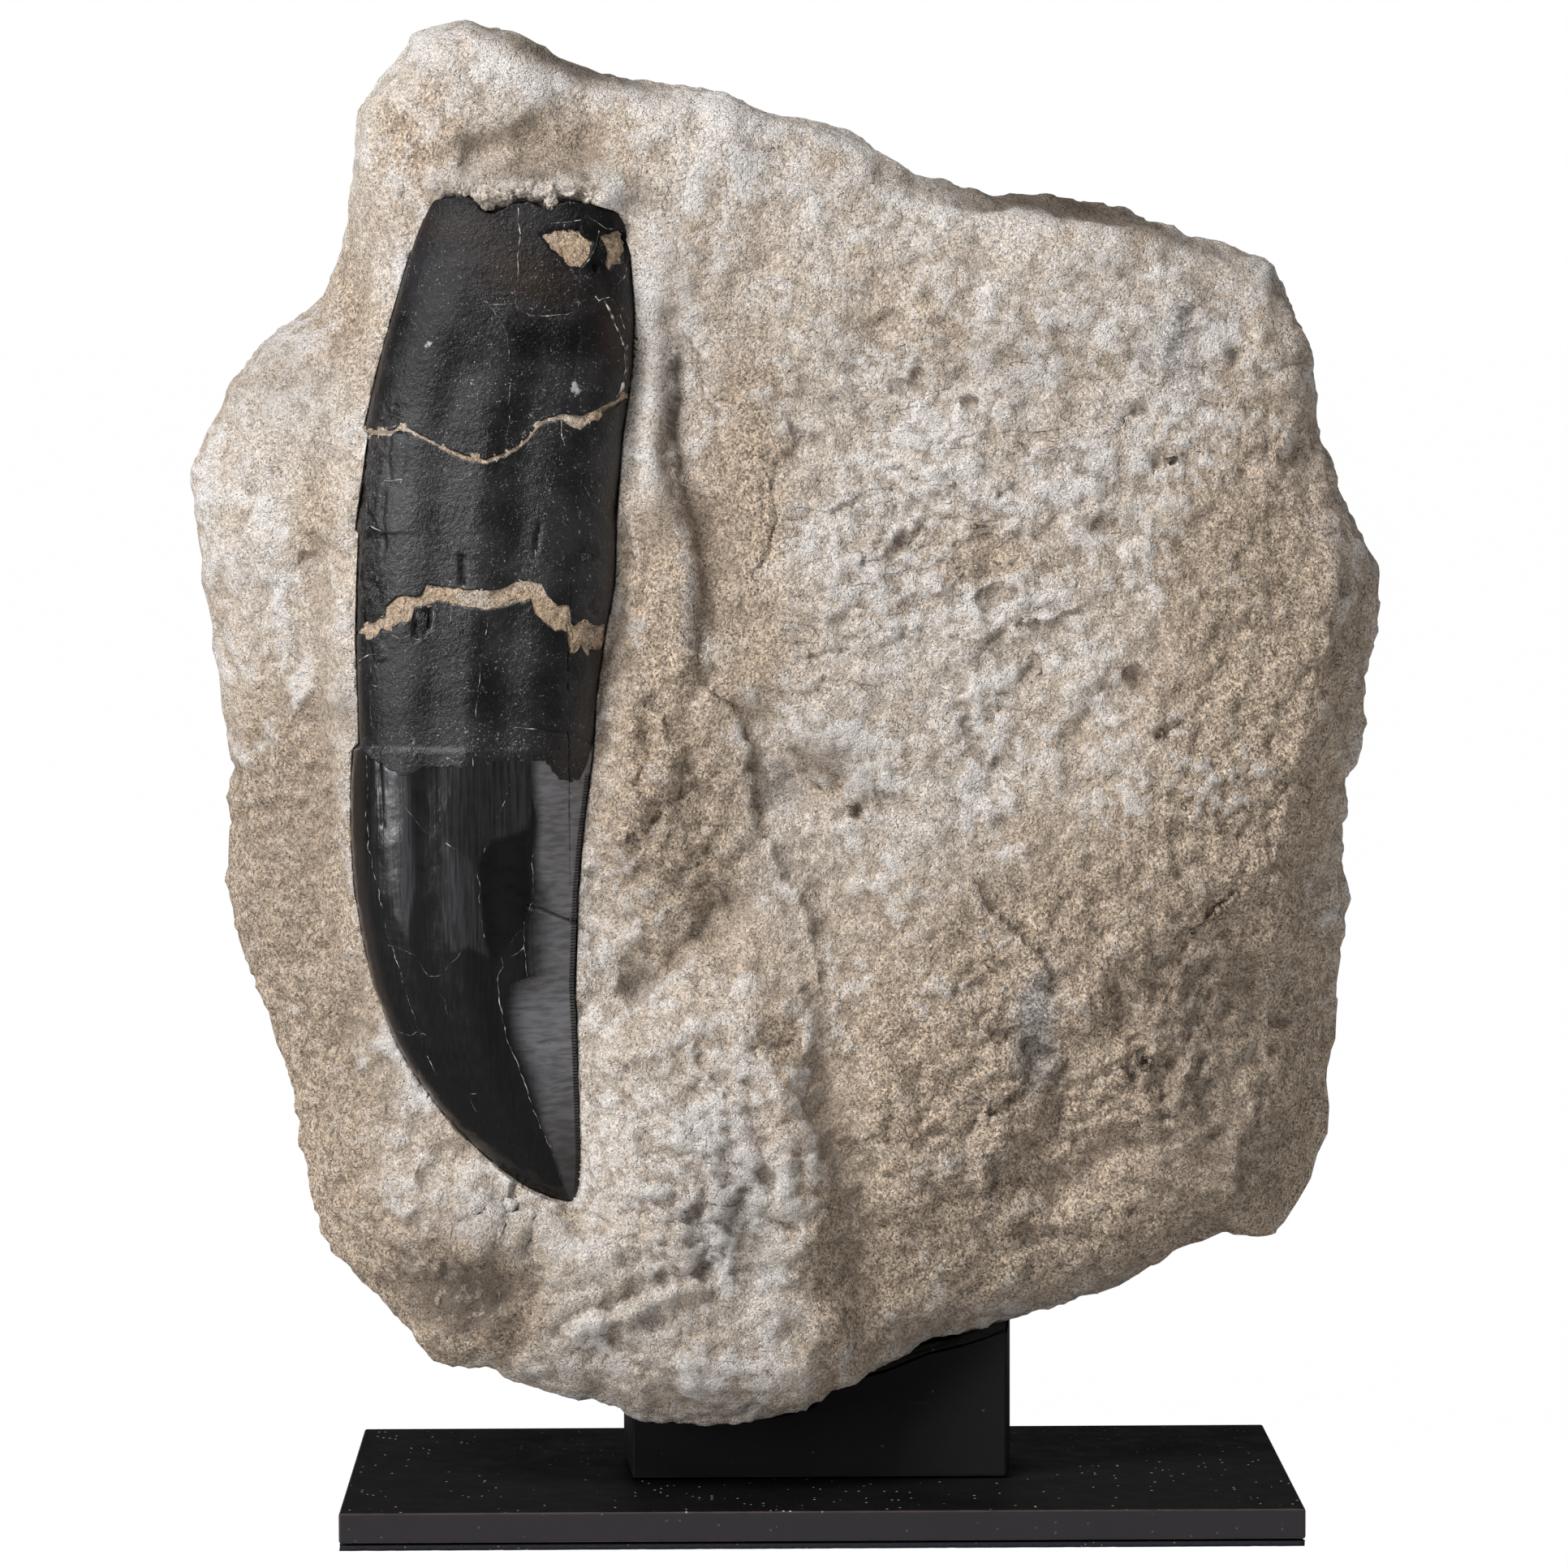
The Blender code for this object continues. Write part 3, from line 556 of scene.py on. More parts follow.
# Around the rim: angle in degrees, depth of the widest section, squareness of the front and the back edge
STONE_RIM = (
    (0, 4, 7, 3.2), (35, 5, 9, 3), (60, 6, 9, 3), (80, 3, 10, 3.2), (118, 0, 9, 2.8), (133, -3, 3.4, 2.6),
    (155, -4, 2.3, 2.6), (185, -4, 2.1, 2.8), (215, -8, 2.1, 2.8), (240, -15, 2.4, 2.4),
    (262, -16, 2.8, 2.2), (275, -15, 3, 2.2), (283, -5, 2.8, 2.4), (305, 0, 2.4, 2.6), (330, 2, 2.8, 3),
    (345, 4, 4.5, 3.2), (360, 4, 7, 3.2),
)

# Valleys and ridges: points, half width, height
STONE_LINES = (
    (((-13, 147), (-13.6, 134.9), (-12.6, 125.9), (-11.5, 116.9), (-9.5, 109.8)), 4.2, -1.6),
    (((-9, 106), (-5.8, 97.8), (-3.2, 90.8), (-0.2, 84.7), (1.6, 77.6), (1.4, 69.6)), 5, -2),
    (((-21.3, 165), (-20.6, 150.8), (-20.2, 140), (-21.2, 133), (-20.4, 126)), 2, 1.5),
    (((-20, 133), (-18.4, 128.5), (-17, 124.5), (-16.4, 118), (-17.6, 112), (-18, 106)), 1.8, 1.5),
    (((-24.6, 66.6), (-21.2, 70.2), (-16.7, 73.9), (-11, 78.4), (-8, 80)), 2.6, -2.2),
    (((-45, 170.6), (-38.6, 172.2), (-33.9, 172.9), (-28.9, 174), (-25, 174)), 2.6, -1.4),
    (((-50.6, 168.3), (-44.6, 168.8), (-36.6, 169.6), (-26.7, 169), (-21.7, 167)), 2, 1.5),
    (((-2.6, 64.6), (-0.4, 56), (2.6, 50), (3.9, 44), (4.4, 36), (4, 28)), 4.2, -1.3),
    (((28.6, 70.5), (29.2, 65.2), (29, 60.4), (30.1, 55.6), (30.9, 53.6)), 1.7, -1.2),
)

# Level places: outline, width of the sloping edge, height
STONE_SHELVES = (
    (((-57, 60), (-48, 51), (-40, 44), (-29.8, 40.5), (-28.5, 63.9), (-23.2, 63.6), (-14.1, 67.2),
      (-9.6, 70), (-3.6, 67.6), (-1.6, 60), (-2.7, 52.6), (0, 45.6), (1, 36.5), (3, 28.3), (1.8, 10),
      (-50, 10), (-68, 40)), 7, 3.4),
    (((26, 61), (30, 56), (25, 50), (21, 44), (30, 40), (48, 44), (62, 56), (64, 76), (56, 82), (42, 74),
      (33, 64)), 6, -2.6),
)

# Swellings and hollows: middle, half width, half height, turn in degrees, height
STONE_SWELLINGS = (
    (-20.5, 92, 7, 15, 8, 2.4), (-22.6, 68, 3, 2.6, 30, -1.3), (1.6, 95.2, 3.5, 2.8, 20, -0.9),
    (-5, 62.4, 2.4, 2.8, 0, -1.9), (-43.4, 30.4, 7.4, 4.6, 12, -3.2), (-42, 37, 6, 4, 35, 1),
    (-23, 33, 11, 14, 15, 1.8), (-14, 18, 13, 5, 0, 1.4), (11, 42, 5, 9, 10, 1.2),
    (-62.5, 121, 3, 4.5, 10, -0.8), (-48, 179, 8, 7, 30, 1.2), (-28.5, 172.4, 3.2, 2.2, 20, -0.9),
    (-41.6, 171, 2.6, 1.5, 20, -0.8), (40, 145, 14, 8, 20, -1), (25, 100, 20, 16, 0, 0.9),
    (40.5, 44.9, 6.2, 2.8, 22, 1.5), (19, 60, 6.5, 6, 0, 1), (-4, 93, 2.6, 3.4, 30, -0.8),
)

# Broken faces: a point on the face, its direction outwards, its reach
STONE_BREAKS = (
    ((0, 23.5, 115), (0.05, 1, 0.1), 300), ((-40, 17, 90), (-0.45, 1, -0.05), 300),
    ((45, 19, 110), (0.55, 1, 0.1), 300), ((5, 15, 50), (0.1, 1, -0.5), 300),
    ((-30, 16, 160), (-0.2, 1, 0.6), 300), ((64, -5, 68), (1, -0.7, -0.24), 60),
    ((36, -23.5, 161.9), (0.15, -0.22, 1), 14), ((-31.5, -23.5, 183), (0.43, -0.22, 1), 6),
    ((64, -22.5, 108), (1, -0.8, 0.06), 26),
)
BREAK_SHARE = 0.85
BREAK_WOBBLE = 0.6 * MM
WOBBLE_SIZE = 6.0 * MM
SMALL_BREAK = 20.0
BREAK_SHADE_DEPTH = 0.7 * MM
print("outline points:", len(STONE_OUTLINE))

# %% [markdown]
# ## Small forms of the front
#
# These are the marks that someone who knows this stone would look for: the ragged lip over the root, the
# scraped lines at the left, the little ledges and pits of the right field, and a knob like a small bone at
# the lower right. Most of them are lines and ovals like the large ones. A ledge is new: it is the broken end
# of a thin layer, crisp on one side and fading out on the other.

# %% Small forms
SMALL_LINES = (
    (((-50, 167.6), (-45, 168.6), (-41.5, 166.8), (-38, 167.6), (-33, 167), (-29, 168), (-23, 166)),
      1.3, 1.2),
    (((-43, 169.3), (-37.4, 170), (-31, 170.4)), 0.7, 0.7),
    (((-31, 170.4), (-28.4, 168.8), (-26, 167)), 0.8, -0.7),
    (((-28.9, 173), (-28.6, 170.4), (-27, 168.6)), 0.9, -0.7),
    (((-23.9, 127.4), (-24, 121), (-23.6, 113.6)), 0.8, -1.4),
    (((-21, 106.1), (-21.3, 102.1), (-20.9, 99.2), (-22.2, 94.9), (-22.8, 92.4)), 1.2, -1.1),
    (((-17.3, 99.4), (-16.4, 97.2), (-15.4, 95.4)), 0.9, -0.7),
    (((-24, 104), (-24.2, 98), (-25, 92)), 1.3, 0.6),
    (((-18.6, 104), (-18.9, 98.4), (-19.6, 94)), 1.3, 0.8),
    (((-25.3, 89.4), (-24.6, 87.6), (-23.2, 87.7)), 0.6, 0.5), (((-28, 134), (-20.6, 129)), 0.9, -0.2),
    (((-18, 154), (-18.4, 148), (-18.8, 142), (-18.8, 136), (-17.8, 131)), 1.6, -1.1),
    (((-58.4, 31.4), (-54, 35.6), (-48, 38.2), (-41, 38.4), (-36, 37)), 1.3, 1),
    (((-50, 33), (-44, 34), (-38, 31)), 2, -1.2), (((-50.6, 46), (-49.6, 43), (-50.4, 40.4)), 0.7, 0.6),
    (((-33, 34), (-31.4, 31), (-32.6, 28)), 0.9, 0.6), (((-26, 38.6), (-24, 36), (-25, 33.4)), 0.9, -0.6),
    (((36.6, 58.9), (37.6, 57.8), (39, 56.4)), 0.5, -0.7),
    (((19.9, 46.4), (20.2, 44.4), (19.9, 42.2)), 0.7, 0.8),
    (((-23.2, 128.6), (-23, 124), (-21.8, 120)), 0.9, 0.6),
    (((-19, 120), (-20.2, 114.4), (-24, 111.4)), 1.1, 0.6),
    (((-21.6, 126), (-20.8, 120), (-22.4, 115)), 0.9, -0.6),
    (((-9, 58.3), (-8.7, 55.5), (-8.4, 52.6)), 1.2, -0.7),
    (((-6.1, 58.3), (-4.4, 54.9), (-2.9, 51.7), (-0.9, 46.6)), 1, 0.9),
    (((-11, 52.4), (-11, 47.7), (-11.8, 43)), 1.4, -0.7), (((-7, 51.4), (-7, 46), (-6.2, 43.8)), 1.2, -0.7),
    (((-9.2, 51), (-8.8, 48.4), (-8.6, 45.4)), 0.9, 0.5),
    (((-4.7, 52), (-3.8, 48.3), (-5.4, 43.8)), 1, 0.7),
    (((-11.2, 43.4), (-9.5, 39.1), (-8.4, 35.7), (-9.2, 31.6)), 1.4, -1.2),
    (((-8.6, 34.6), (-4.4, 35.9), (-1.2, 37.7), (0.2, 39.2)), 0.9, 1.1),
    (((-31.2, 28.6), (-26.2, 29.4), (-22.7, 31.3), (-18.7, 33.3), (-14.7, 34), (-12, 34.2)), 1.3, -1.3),
    (((-30, 27.4), (-26, 27.6), (-22.7, 29.4), (-18.7, 31.2), (-13.7, 32.2)), 0.9, 0.8),
    (((-17.6, 40.2), (-15.4, 41.2), (-13.2, 42.8)), 0.9, -0.6),
    (((-21, 41.4), (-18.4, 42.4), (-16, 42.6)), 0.9, 0.5),
    (((-14.9, 37), (-15.2, 35.6), (-15.2, 34.2)), 0.6, -0.8),
    (((-23.3, 27), (-20.8, 27), (-18.7, 27.6)), 0.7, -0.7),
    (((-29.7, 21.7), (-26.1, 25.4), (-24.8, 27.6)), 1.3, -1),
    (((-26.4, 24.9), (-24.5, 23.6), (-22.2, 23.2)), 0.6, -1),
    (((-54.6, 57.8), (-54.4, 53.6), (-56, 49)), 0.9, 0.6),
    (((-47, 50), (-48.4, 45.6), (-50.6, 42)), 0.9, -0.6),
    (((-44.4, 47.4), (-43.4, 43.4), (-45, 40.6)), 0.9, 0.6),
    (((-38.2, 43.8), (-38.4, 41.4), (-39.4, 39.2)), 0.8, -0.9),
    (((-35.8, 40.2), (-36, 38.4), (-36.8, 36.6)), 0.7, -0.8),
    (((-41, 40.6), (-41.4, 38.2), (-42.6, 36)), 0.8, 0.6),
    (((-48.6, 37.6), (-45.6, 39), (-42.6, 40.4)), 0.8, -0.5), (((-62.9, 137), (-62.8, 134.2)), 0.5, 0.4),
    (((-60.4, 107.6), (-58.1, 110.6)), 0.8, -0.8),
    (((-63.5, 106.4), (-65.4, 103.3), (-66.9, 101), (-68.9, 99.1), (-71.5, 96.8)), 0.6, 0.7),
    (((-67, 121), (-67.4, 114), (-66.6, 107)), 0.8, 0.4),
    (((-65.6, 117), (-65, 111), (-66, 106.4)), 0.7, -0.4),
    (((-70, 126), (-70.6, 118), (-69.4, 110)), 1.2, 0.4),
    (((36.3, 68.9), (37.8, 64.9), (38.6, 62)), 1, -1.1),
    (((44.2, 60.4), (42.7, 56.7), (43.1, 53), (43.6, 50)), 1.4, -1.3),
    (((46.6, 59.4), (44.9, 55.6), (44.4, 51.4)), 1.1, 0.9), (((48.8, 56.6), (47.9, 50)), 1.2, -0.7),
    (((39, 62.3), (41.2, 57.8)), 0.8, -0.5),
    (((33.6, 43.6), (34.6, 46.4), (38.6, 48.9), (41.6, 48.2), (45, 49.4)), 1, -1.1),
    (((31.2, 36), (34, 36.2), (36.4, 37.3)), 0.8, -0.6),
    (((24.6, 38.2), (26.6, 36.4), (30.6, 36.2)), 0.8, -0.7),
    (((19, 47.6), (20, 46.2), (20.2, 44), (20, 42)), 0.9, 1.1),
    (((20, 46.8), (21.6, 48.4), (24.4, 50)), 0.8, 0.8), (((21.4, 47), (21.3, 44), (21, 41.6)), 0.6, -0.6),
    (((17.6, 107.8), (17.9, 101.7), (19.4, 97.7), (21.4, 96), (24.6, 96.6)), 0.6, -0.4),
    (((41.2, 99.5), (43.9, 100.8), (45.4, 102.2)), 0.7, -0.6),
    (((-1.2, 89.8), (4, 90.4), (6.8, 93)), 0.8, -0.5), (((4.2, 91.6), (4.3, 89)), 0.6, -0.7),
    (((8.7, 143.1), (11.4, 143.6), (12.2, 146)), 0.7, -0.7), (((17.2, 140.8), (19.8, 141.5)), 0.6, -0.6),
    (((37.2, 139.2), (40.9, 140.5)), 0.8, -1), (((41, 133.2), (44.1, 134.5)), 0.7, -0.6),
    (((21.5, 130), (24.6, 130.7)), 0.6, -0.6), (((9, 122.2), (10.9, 124.1), (13.8, 121.6)), 0.7, -0.35),
    (((19.4, 115.8), (21.7, 117.4), (24.8, 118)), 0.7, -1),
    (((22.6, 113.2), (22.1, 111), (24, 109.2), (27.4, 108.4)), 0.7, -0.9),
    (((33.8, 125.4), (37.6, 126.2)), 0.8, -0.6), (((8, 122.4), (11, 124.2)), 0.6, -0.4),
    (((40, 151), (43, 148), (42, 144), (39.6, 142.6)), 0.9, 0.5),
    (((46, 153), (45.4, 149), (47.6, 145.6)), 1, -0.6), (((-0.6, 128), (-4, 126.8)), 0.6, -0.4),
)

# Ledges: points, reach, height; what is raised or lowered lies to the left of someone who walks along them
LEDGES = (
    (((-17.2, 149), (-17.6, 145.9), (-17.9, 141.3), (-17.9, 136.7), (-17.3, 132.7), (-16.4, 128.4),
      (-15.3, 125.5), (-15, 121.2)), 3.4, -1.3),
    (((-17, 131), (-16, 127), (-15.2, 124), (-15, 121.2), (-14.7, 118.4), (-15.6, 114.1), (-15.6, 109.7),
      (-13.9, 106)), 5, -0.8),
    (((-15.6, 109.7), (-12.7, 104.4), (-10.4, 102.1), (-9.3, 98.3), (-8.4, 94.9), (-7.3, 90.9),
      (-5.8, 87.7)), 4.5, -1),
    (((-7, 90), (-5.8, 87.7), (-4.1, 83.4), (-1.8, 80.5), (-0.9, 76.8), (-0.4, 73.4), (0.2, 70.5),
      (0.6, 67)), 3.4, -0.7),
    (((-11, 138.7), (-12.7, 141.3), (-13.9, 143.3), (-14.4, 147.3), (-15, 148.5), (-16.4, 151)), 2.4, -1),
    (((-4.7, 141.3), (-4.1, 139.9), (-3.2, 137.9), (-2.7, 136.4), (-3.5, 135.3), (-5.2, 134.4),
      (-5.7, 133.3), (-5.8, 131.6), (-6, 129.8), (-5.2, 127), (-6.1, 125.2), (-7, 123.2), (-7.5, 121.2),
      (-8.3, 120.1), (-7.8, 118.6), (-7.3, 116.6), (-6.5, 114.6), (-6, 113)), 2.6, -0.6),
    (((-7.5, 132), (-7, 128.1), (-8.1, 127), (-8.4, 125.2), (-8, 123.6)), 1.6, -0.4),
    (((-12.9, 138.6), (-12.5, 136.2), (-12.9, 135), (-12.3, 133.3), (-12.7, 131.8)), 1.4, -0.45),
    (((12.6, 134.3), (7.4, 131.3), (4.2, 129), (1.1, 127.8), (-4.8, 127)), 3, -0.3),
    (((13, 125), (10.8, 124.1), (8, 122.4), (5, 121.8)), 2.2, -0.3),
    (((34, 128.6), (28, 126), (22, 125.2), (16, 123.6)), 2.4, -0.32),
    (((20, 137.4), (14, 136), (9, 134.8)), 2, -0.3),
    (((26, 122), (20, 120.4), (14.6, 117.8), (9, 116.8)), 2.2, -0.28),
    (((14, 113.6), (8, 111.6), (2, 111), (-3, 109.6)), 2.2, -0.3),
    (((34, 116.4), (29, 114), (24, 113.6)), 2, -0.5),
    (((18.8, 81.8), (21, 78.4), (24.3, 75.7), (26.8, 72.9), (28.6, 69.5), (28.9, 67.1)), 2.6, -1.1),
    (((19.4, 64.8), (21.6, 62.4), (25.2, 61.6), (26.8, 59.7), (25.7, 57.1), (23.1, 54.5), (21.3, 53),
      (20.9, 50.4)), 2.2, -1.3),
    (((16.6, 68.2), (21, 71.4), (24.6, 73.8)), 2, -0.6),
    (((53.6, 82.6), (50.1, 77.5), (47, 75.4), (43.9, 68.3), (40.9, 65)), 6, 0.6),
    (((-14, 74.6), (-16.4, 72.5), (-18.4, 70.8), (-20.5, 68.2), (-21.6, 65.6)), 3, 1),
    (((-2.6, 65), (-2.2, 62.8), (-2.2, 60.6)), 1.6, 0.6),
    (((-24.1, 49.6), (-23.9, 56.3), (-23.3, 60.8)), 2.6, -0.8),
    (((-15.6, 62.4), (-14.7, 58.3), (-12.7, 56.3), (-11.8, 54.4)), 2.4, -0.7),
    (((-63.5, 122.9), (-63.1, 127.8), (-62.3, 130.9), (-62.2, 133.6), (-62.8, 136.4)), 1.6, -0.45),
    (((-59.3, 117.1), (-60.8, 119.8), (-61.2, 121.3), (-62.3, 122.3), (-64.3, 122.3), (-65.4, 121)),
      2.4, -0.8),
    (((-63, 107), (-65.2, 103.8), (-66.7, 101.5), (-68.7, 99.6), (-71.3, 97.3)), 2.4, 0.5),
    (((-69.6, 95.7), (-70.4, 93), (-70.8, 90)), 1.6, -0.5),
    (((-56, 48.6), (-58.2, 48.6), (-61, 49.6), (-64, 48)), 2, -0.5),
    (((-36, 32.6), (-40.4, 34.4), (-45, 35.4), (-49, 34.6)), 1.8, -0.9),
    (((1.6, 79), (-0.4, 83), (-2.2, 85.4)), 2, -0.5),
    (((1, 92.4), (-0.6, 94.6), (-1.6, 97), (-3.4, 98.8)), 2.2, -0.8),
    (((56, 57), (54.9, 50), (53.1, 45.6), (52, 41)), 3, -0.4),
)
LEDGE_EDGE = 0.6 * MM

# Small knobs and pits: middle, half width, half height, turn in degrees, height
SMALL_SWELLINGS = (
    (-38.9, 166.6, 0.9, 0.8, 0, 0.7), (-37.2, 167.2, 0.7, 0.8, 0, 0.5), (-34.3, 166.8, 1, 0.9, 0, 0.8),
    (-30.5, 167.2, 0.9, 0.9, 0, 0.7), (-25.9, 166.2, 1, 0.8, 0, 0.7), (32.6, 71.4, 1.5, 1.5, 0, -0.6),
    (-43.5, 40.4, 0.8, 0.7, 0, -0.8), (-41.7, 41, 0.8, 0.8, 0, -0.7), (-58.1, 147, 2.4, 2, 0, -0.5),
    (-58.1, 134.7, 2, 2.6, 0, -0.4), (-46.9, 32.4, 1.4, 1, 0, -1), (-43.8, 30.9, 1.6, 1.1, 0, -1.1),
    (-39.5, 33.3, 1.3, 0.9, 0, -1), (38.9, 146.8, 0.8, 0.7, 0, -0.8), (51.5, 147, 0.7, 1, 0, -0.8),
    (29.9, 76.6, 1.2, 0.8, 0, -0.8), (39.3, 107, 0.9, 0.9, 0, -1.1), (41.5, 101.7, 1.3, 1, 0, 0.6),
    (18.7, 154.8, 0.5, 0.5, 0, -0.6), (7.1, 150.7, 3, 1.5, 10, -0.7), (33.5, 76.4, 0.5, 0.4, 0, -0.7),
    (14.1, 74.4, 0.5, 0.4, 0, -0.6), (13.5, 70.5, 0.5, 0.4, 0, -0.7), (31.4, 55.2, 0.6, 0.5, 0, -0.7),
    (38.6, 48.8, 0.8, 0.6, 0, -0.8), (-16.7, 102.3, 1.5, 1, 20, -0.8), (-22.8, 90.9, 1.1, 1.3, 0, 0.8),
    (-20.5, 90.3, 1, 1.9, 0, -1), (-18.2, 82.8, 0.8, 0.8, 0, 0.5), (-13.7, 86, 0.5, 0.5, 0, -0.8),
    (-26.4, 86.7, 0.45, 0.45, 0, -0.6), (-15.3, 56, 1.7, 1.3, 0, -0.7), (-4.4, 40, 2.5, 1.6, 0, -0.8),
    (-3.5, 25, 2, 1.5, 0, -0.8), (-0.6, 76.9, 0.8, 1.4, 0, -0.8), (-9, 95.4, 0.6, 1.2, 0, -0.5),
    (-7, 90.6, 0.8, 0.9, 0, -0.6), (-46.3, 46.5, 1.4, 1.6, 0, -0.9), (-50.2, 39.4, 1, 2, 0, -0.7),
    (-42.6, 40.4, 1.4, 0.6, 0, -0.5), (-49.6, 35.4, 1.2, 1.2, 0, -0.6), (-61, 115, 1.8, 1.6, 0, -0.7),
    (-58, 103.6, 0.9, 1.7, 0, -0.9), (-71.8, 115.8, 0.6, 0.6, 0, -0.6), (-51.1, 167, 0.8, 0.5, 0, -0.7),
    (-33.6, 175.6, 3.6, 1.3, 20, -0.7), (-22, 173.8, 0.8, 1.2, 0, 0.5), (-15, 175.4, 2, 2.8, 0, -0.6),
    (26.6, 36, 1.6, 0.9, 0, -1), (13, 88, 3, 2.4, 0, 0.4), (-17.6, 53.6, 3.6, 5, 0, 0.6),
    (-64, 104, 3, 2, 30, 0.4), (52, 92, 8, 10, 0, 0.6), (-28, 36, 4, 3, 0, 0.6), (-20, 46, 4, 4, 0, 0.5),
    (-11, 25, 3, 2, 20, 0.7), (-18, 22, 2.6, 1.8, 20, 0.6), (-6, 29, 2, 3, -30, 0.6),
    (-64.7, 90.6, 0.6, 0.5, 0, -0.9), (-62.9, 95.9, 0.5, 0.5, 0, -0.5), (-61.5, 95.7, 0.8, 0.7, 0, -0.6),
    (-67.2, 134, 0.6, 0.4, 30, -0.7), (-62, 115.2, 0.4, 0.4, 0, -0.8), (-60.6, 114.3, 0.4, 0.4, 0, -0.8),
    (-60, 74, 1.2, 0.8, 20, -0.6), (-64, 62, 1, 1.4, 0, -0.7), (-68, 70, 1.6, 1, -20, 0.6),
    (34.3, 76.4, 0.5, 0.4, 0, -0.7), (35.5, 75.8, 0.5, 0.4, 0, -0.7), (9, 55, 3, 3.6, 10, 0.7),
    (12.6, 62.6, 2.2, 3, 20, 0.5), (8, 83, 3.4, 2.6, 20, 0.6),
)
TAPER = 6.0
WANDERS = ((4.5, 0.75), (1.6, 0.28))


def tapered(share):
    """Fades a line out towards both of its ends."""
    return level_ends(share * TAPER + 0.15) * level_ends((1.0 - share) * TAPER + 0.15)


def wandering(x, z, wanders=WANDERS):
    """The places moved about a little, so that the lines drawn on them come out uneven."""
    for size, reach in wanders:
        moves = np.array([noise.noise_vector(Vector((a, size, b)) / (size * MM)) for a, b in zip(x, z)])
        x, z = x + moves[:, 0] * reach * MM, z + moves[:, 2] * reach * MM
    return x, z


def front_forms(x, z):
    """How far the front stands out of its even surface at each place."""
    x, z = wandering(x, z)
    height = np.zeros(len(x))
    for points, width, rise in STONE_LINES + SMALL_LINES:
        away, *_, share = nearest_on_line(x, z, points)
        height += rise * MM * np.exp(-(away / (width * MM)) ** 2) * tapered(share)
    for points, reach, rise in LEDGES:
        away, _, _, side, share = nearest_on_line(x, z, points)
        step = level_ends(0.5 + away * side / LEDGE_EDGE)
        height += rise * MM * step * np.exp(-away / (reach * MM)) * tapered(share)
    for points, edge, rise in STONE_SHELVES:
        away = nearest_on_line(x, z, points + points[:1])[0]
        signed = np.where(inside_outline(x, z, points), away, -away)
        height += rise * MM * level_ends(0.5 + signed / (edge * MM))
    for *place, rise in STONE_SWELLINGS + SMALL_SWELLINGS:
        height += rise * MM * oval(x, z, *place)
    return height


forms = STONE_LINES + SMALL_LINES + LEDGES + STONE_SHELVES + STONE_SWELLINGS + SMALL_SWELLINGS
print("forms on the front:", len(forms))

# %% [markdown]
# ## A ball with a fine front
#
# The stone's mesh starts as an icosphere, because its triangles are even and it has no poles. The front is
# what people look at, so its edges are divided twice more, and a third time along the thin lines. The ball is
# then pressed to shape: each direction on it has an angle from the front, and the rim's table turns that
# angle into a place on the front, round the edge or on the back. The angles are shared out so that the front
# keeps even triangles.

# %% Press the ball to the stone
BALL_STEPS = 6
FRONT_DIVISIONS = 2
FINE_WITHIN = 0.75 * MM
FINE_LINES = 0.85
MEETS_TOOTH_AT = -22.7 * MM
MEETING_REACH = 6.0 * MM
MEETING_SHARE = 0.8
LIP_HEIGHT = 165.0
LIP_FADE = 4.0
FRONT_RIM = math.radians(68.0)
WIDEST = math.radians(85.0)
BACK_RIM = math.radians(110.0)
FORMS_FADE_FROM = 0.25
FORMS_FADE_OVER = 0.45


def divide(bm, edges):
    """Divides edges of the ball in their middles."""
    bmesh.ops.subdivide_edges(bm, edges=edges, cuts=1)
    bmesh.ops.triangulate(bm, faces=bm.faces[:])
    for vert in bm.verts:
        vert.co.normalize()


def ball_with_fine_front():
    bm = bmesh.new()
    bmesh.ops.create_icosphere(bm, subdivisions=BALL_STEPS, radius=1.0)
    limit = -math.cos(WIDEST)
    for _ in range(FRONT_DIVISIONS):
        divide(bm, [edge for edge in bm.edges if all(vert.co.y < limit for vert in edge.verts)])
    return bm


def outline_radius(angle):
    """Distance from the stone's middle to its outline at each angle."""
    corners = (np.array(STONE_OUTLINE) - np.array(STONE_MIDDLE)) * MM
    corners = corners[np.argsort(np.arctan2(corners[:, 1], corners[:, 0]))]
    corner_angle = np.arctan2(corners[:, 1], corners[:, 0])
    after = np.searchsorted(corner_angle, angle) % len(corners)
    start = corners[after - 1]
    edge = corners[after] - start
    across = start[:, 0] * edge[:, 1] - start[:, 1] * edge[:, 0]
    return across / (np.cos(angle) * edge[:, 1] - np.sin(angle) * edge[:, 0])


def out_and_deep(polar):
    """Shares of sideways and of depth for each angle from the front."""
    out, deep = np.ones(len(polar)), np.ones(len(polar))
    front, rear = polar < FRONT_RIM, polar > BACK_RIM
    out[front] = np.sin(polar[front] / 2.0) / math.sin(FRONT_RIM / 2.0)
    out[rear] = np.sin((math.pi - polar[rear]) / 2.0) / math.sin((math.pi - BACK_RIM) / 2.0)
    before = (polar >= FRONT_RIM) & (polar < WIDEST)
    behind = (polar >= WIDEST) & (polar <= BACK_RIM)
    deep[before] = (WIDEST - polar[before]) / (WIDEST - FRONT_RIM)
    deep[behind] = (polar[behind] - WIDEST) / (BACK_RIM - WIDEST)
    return out, deep


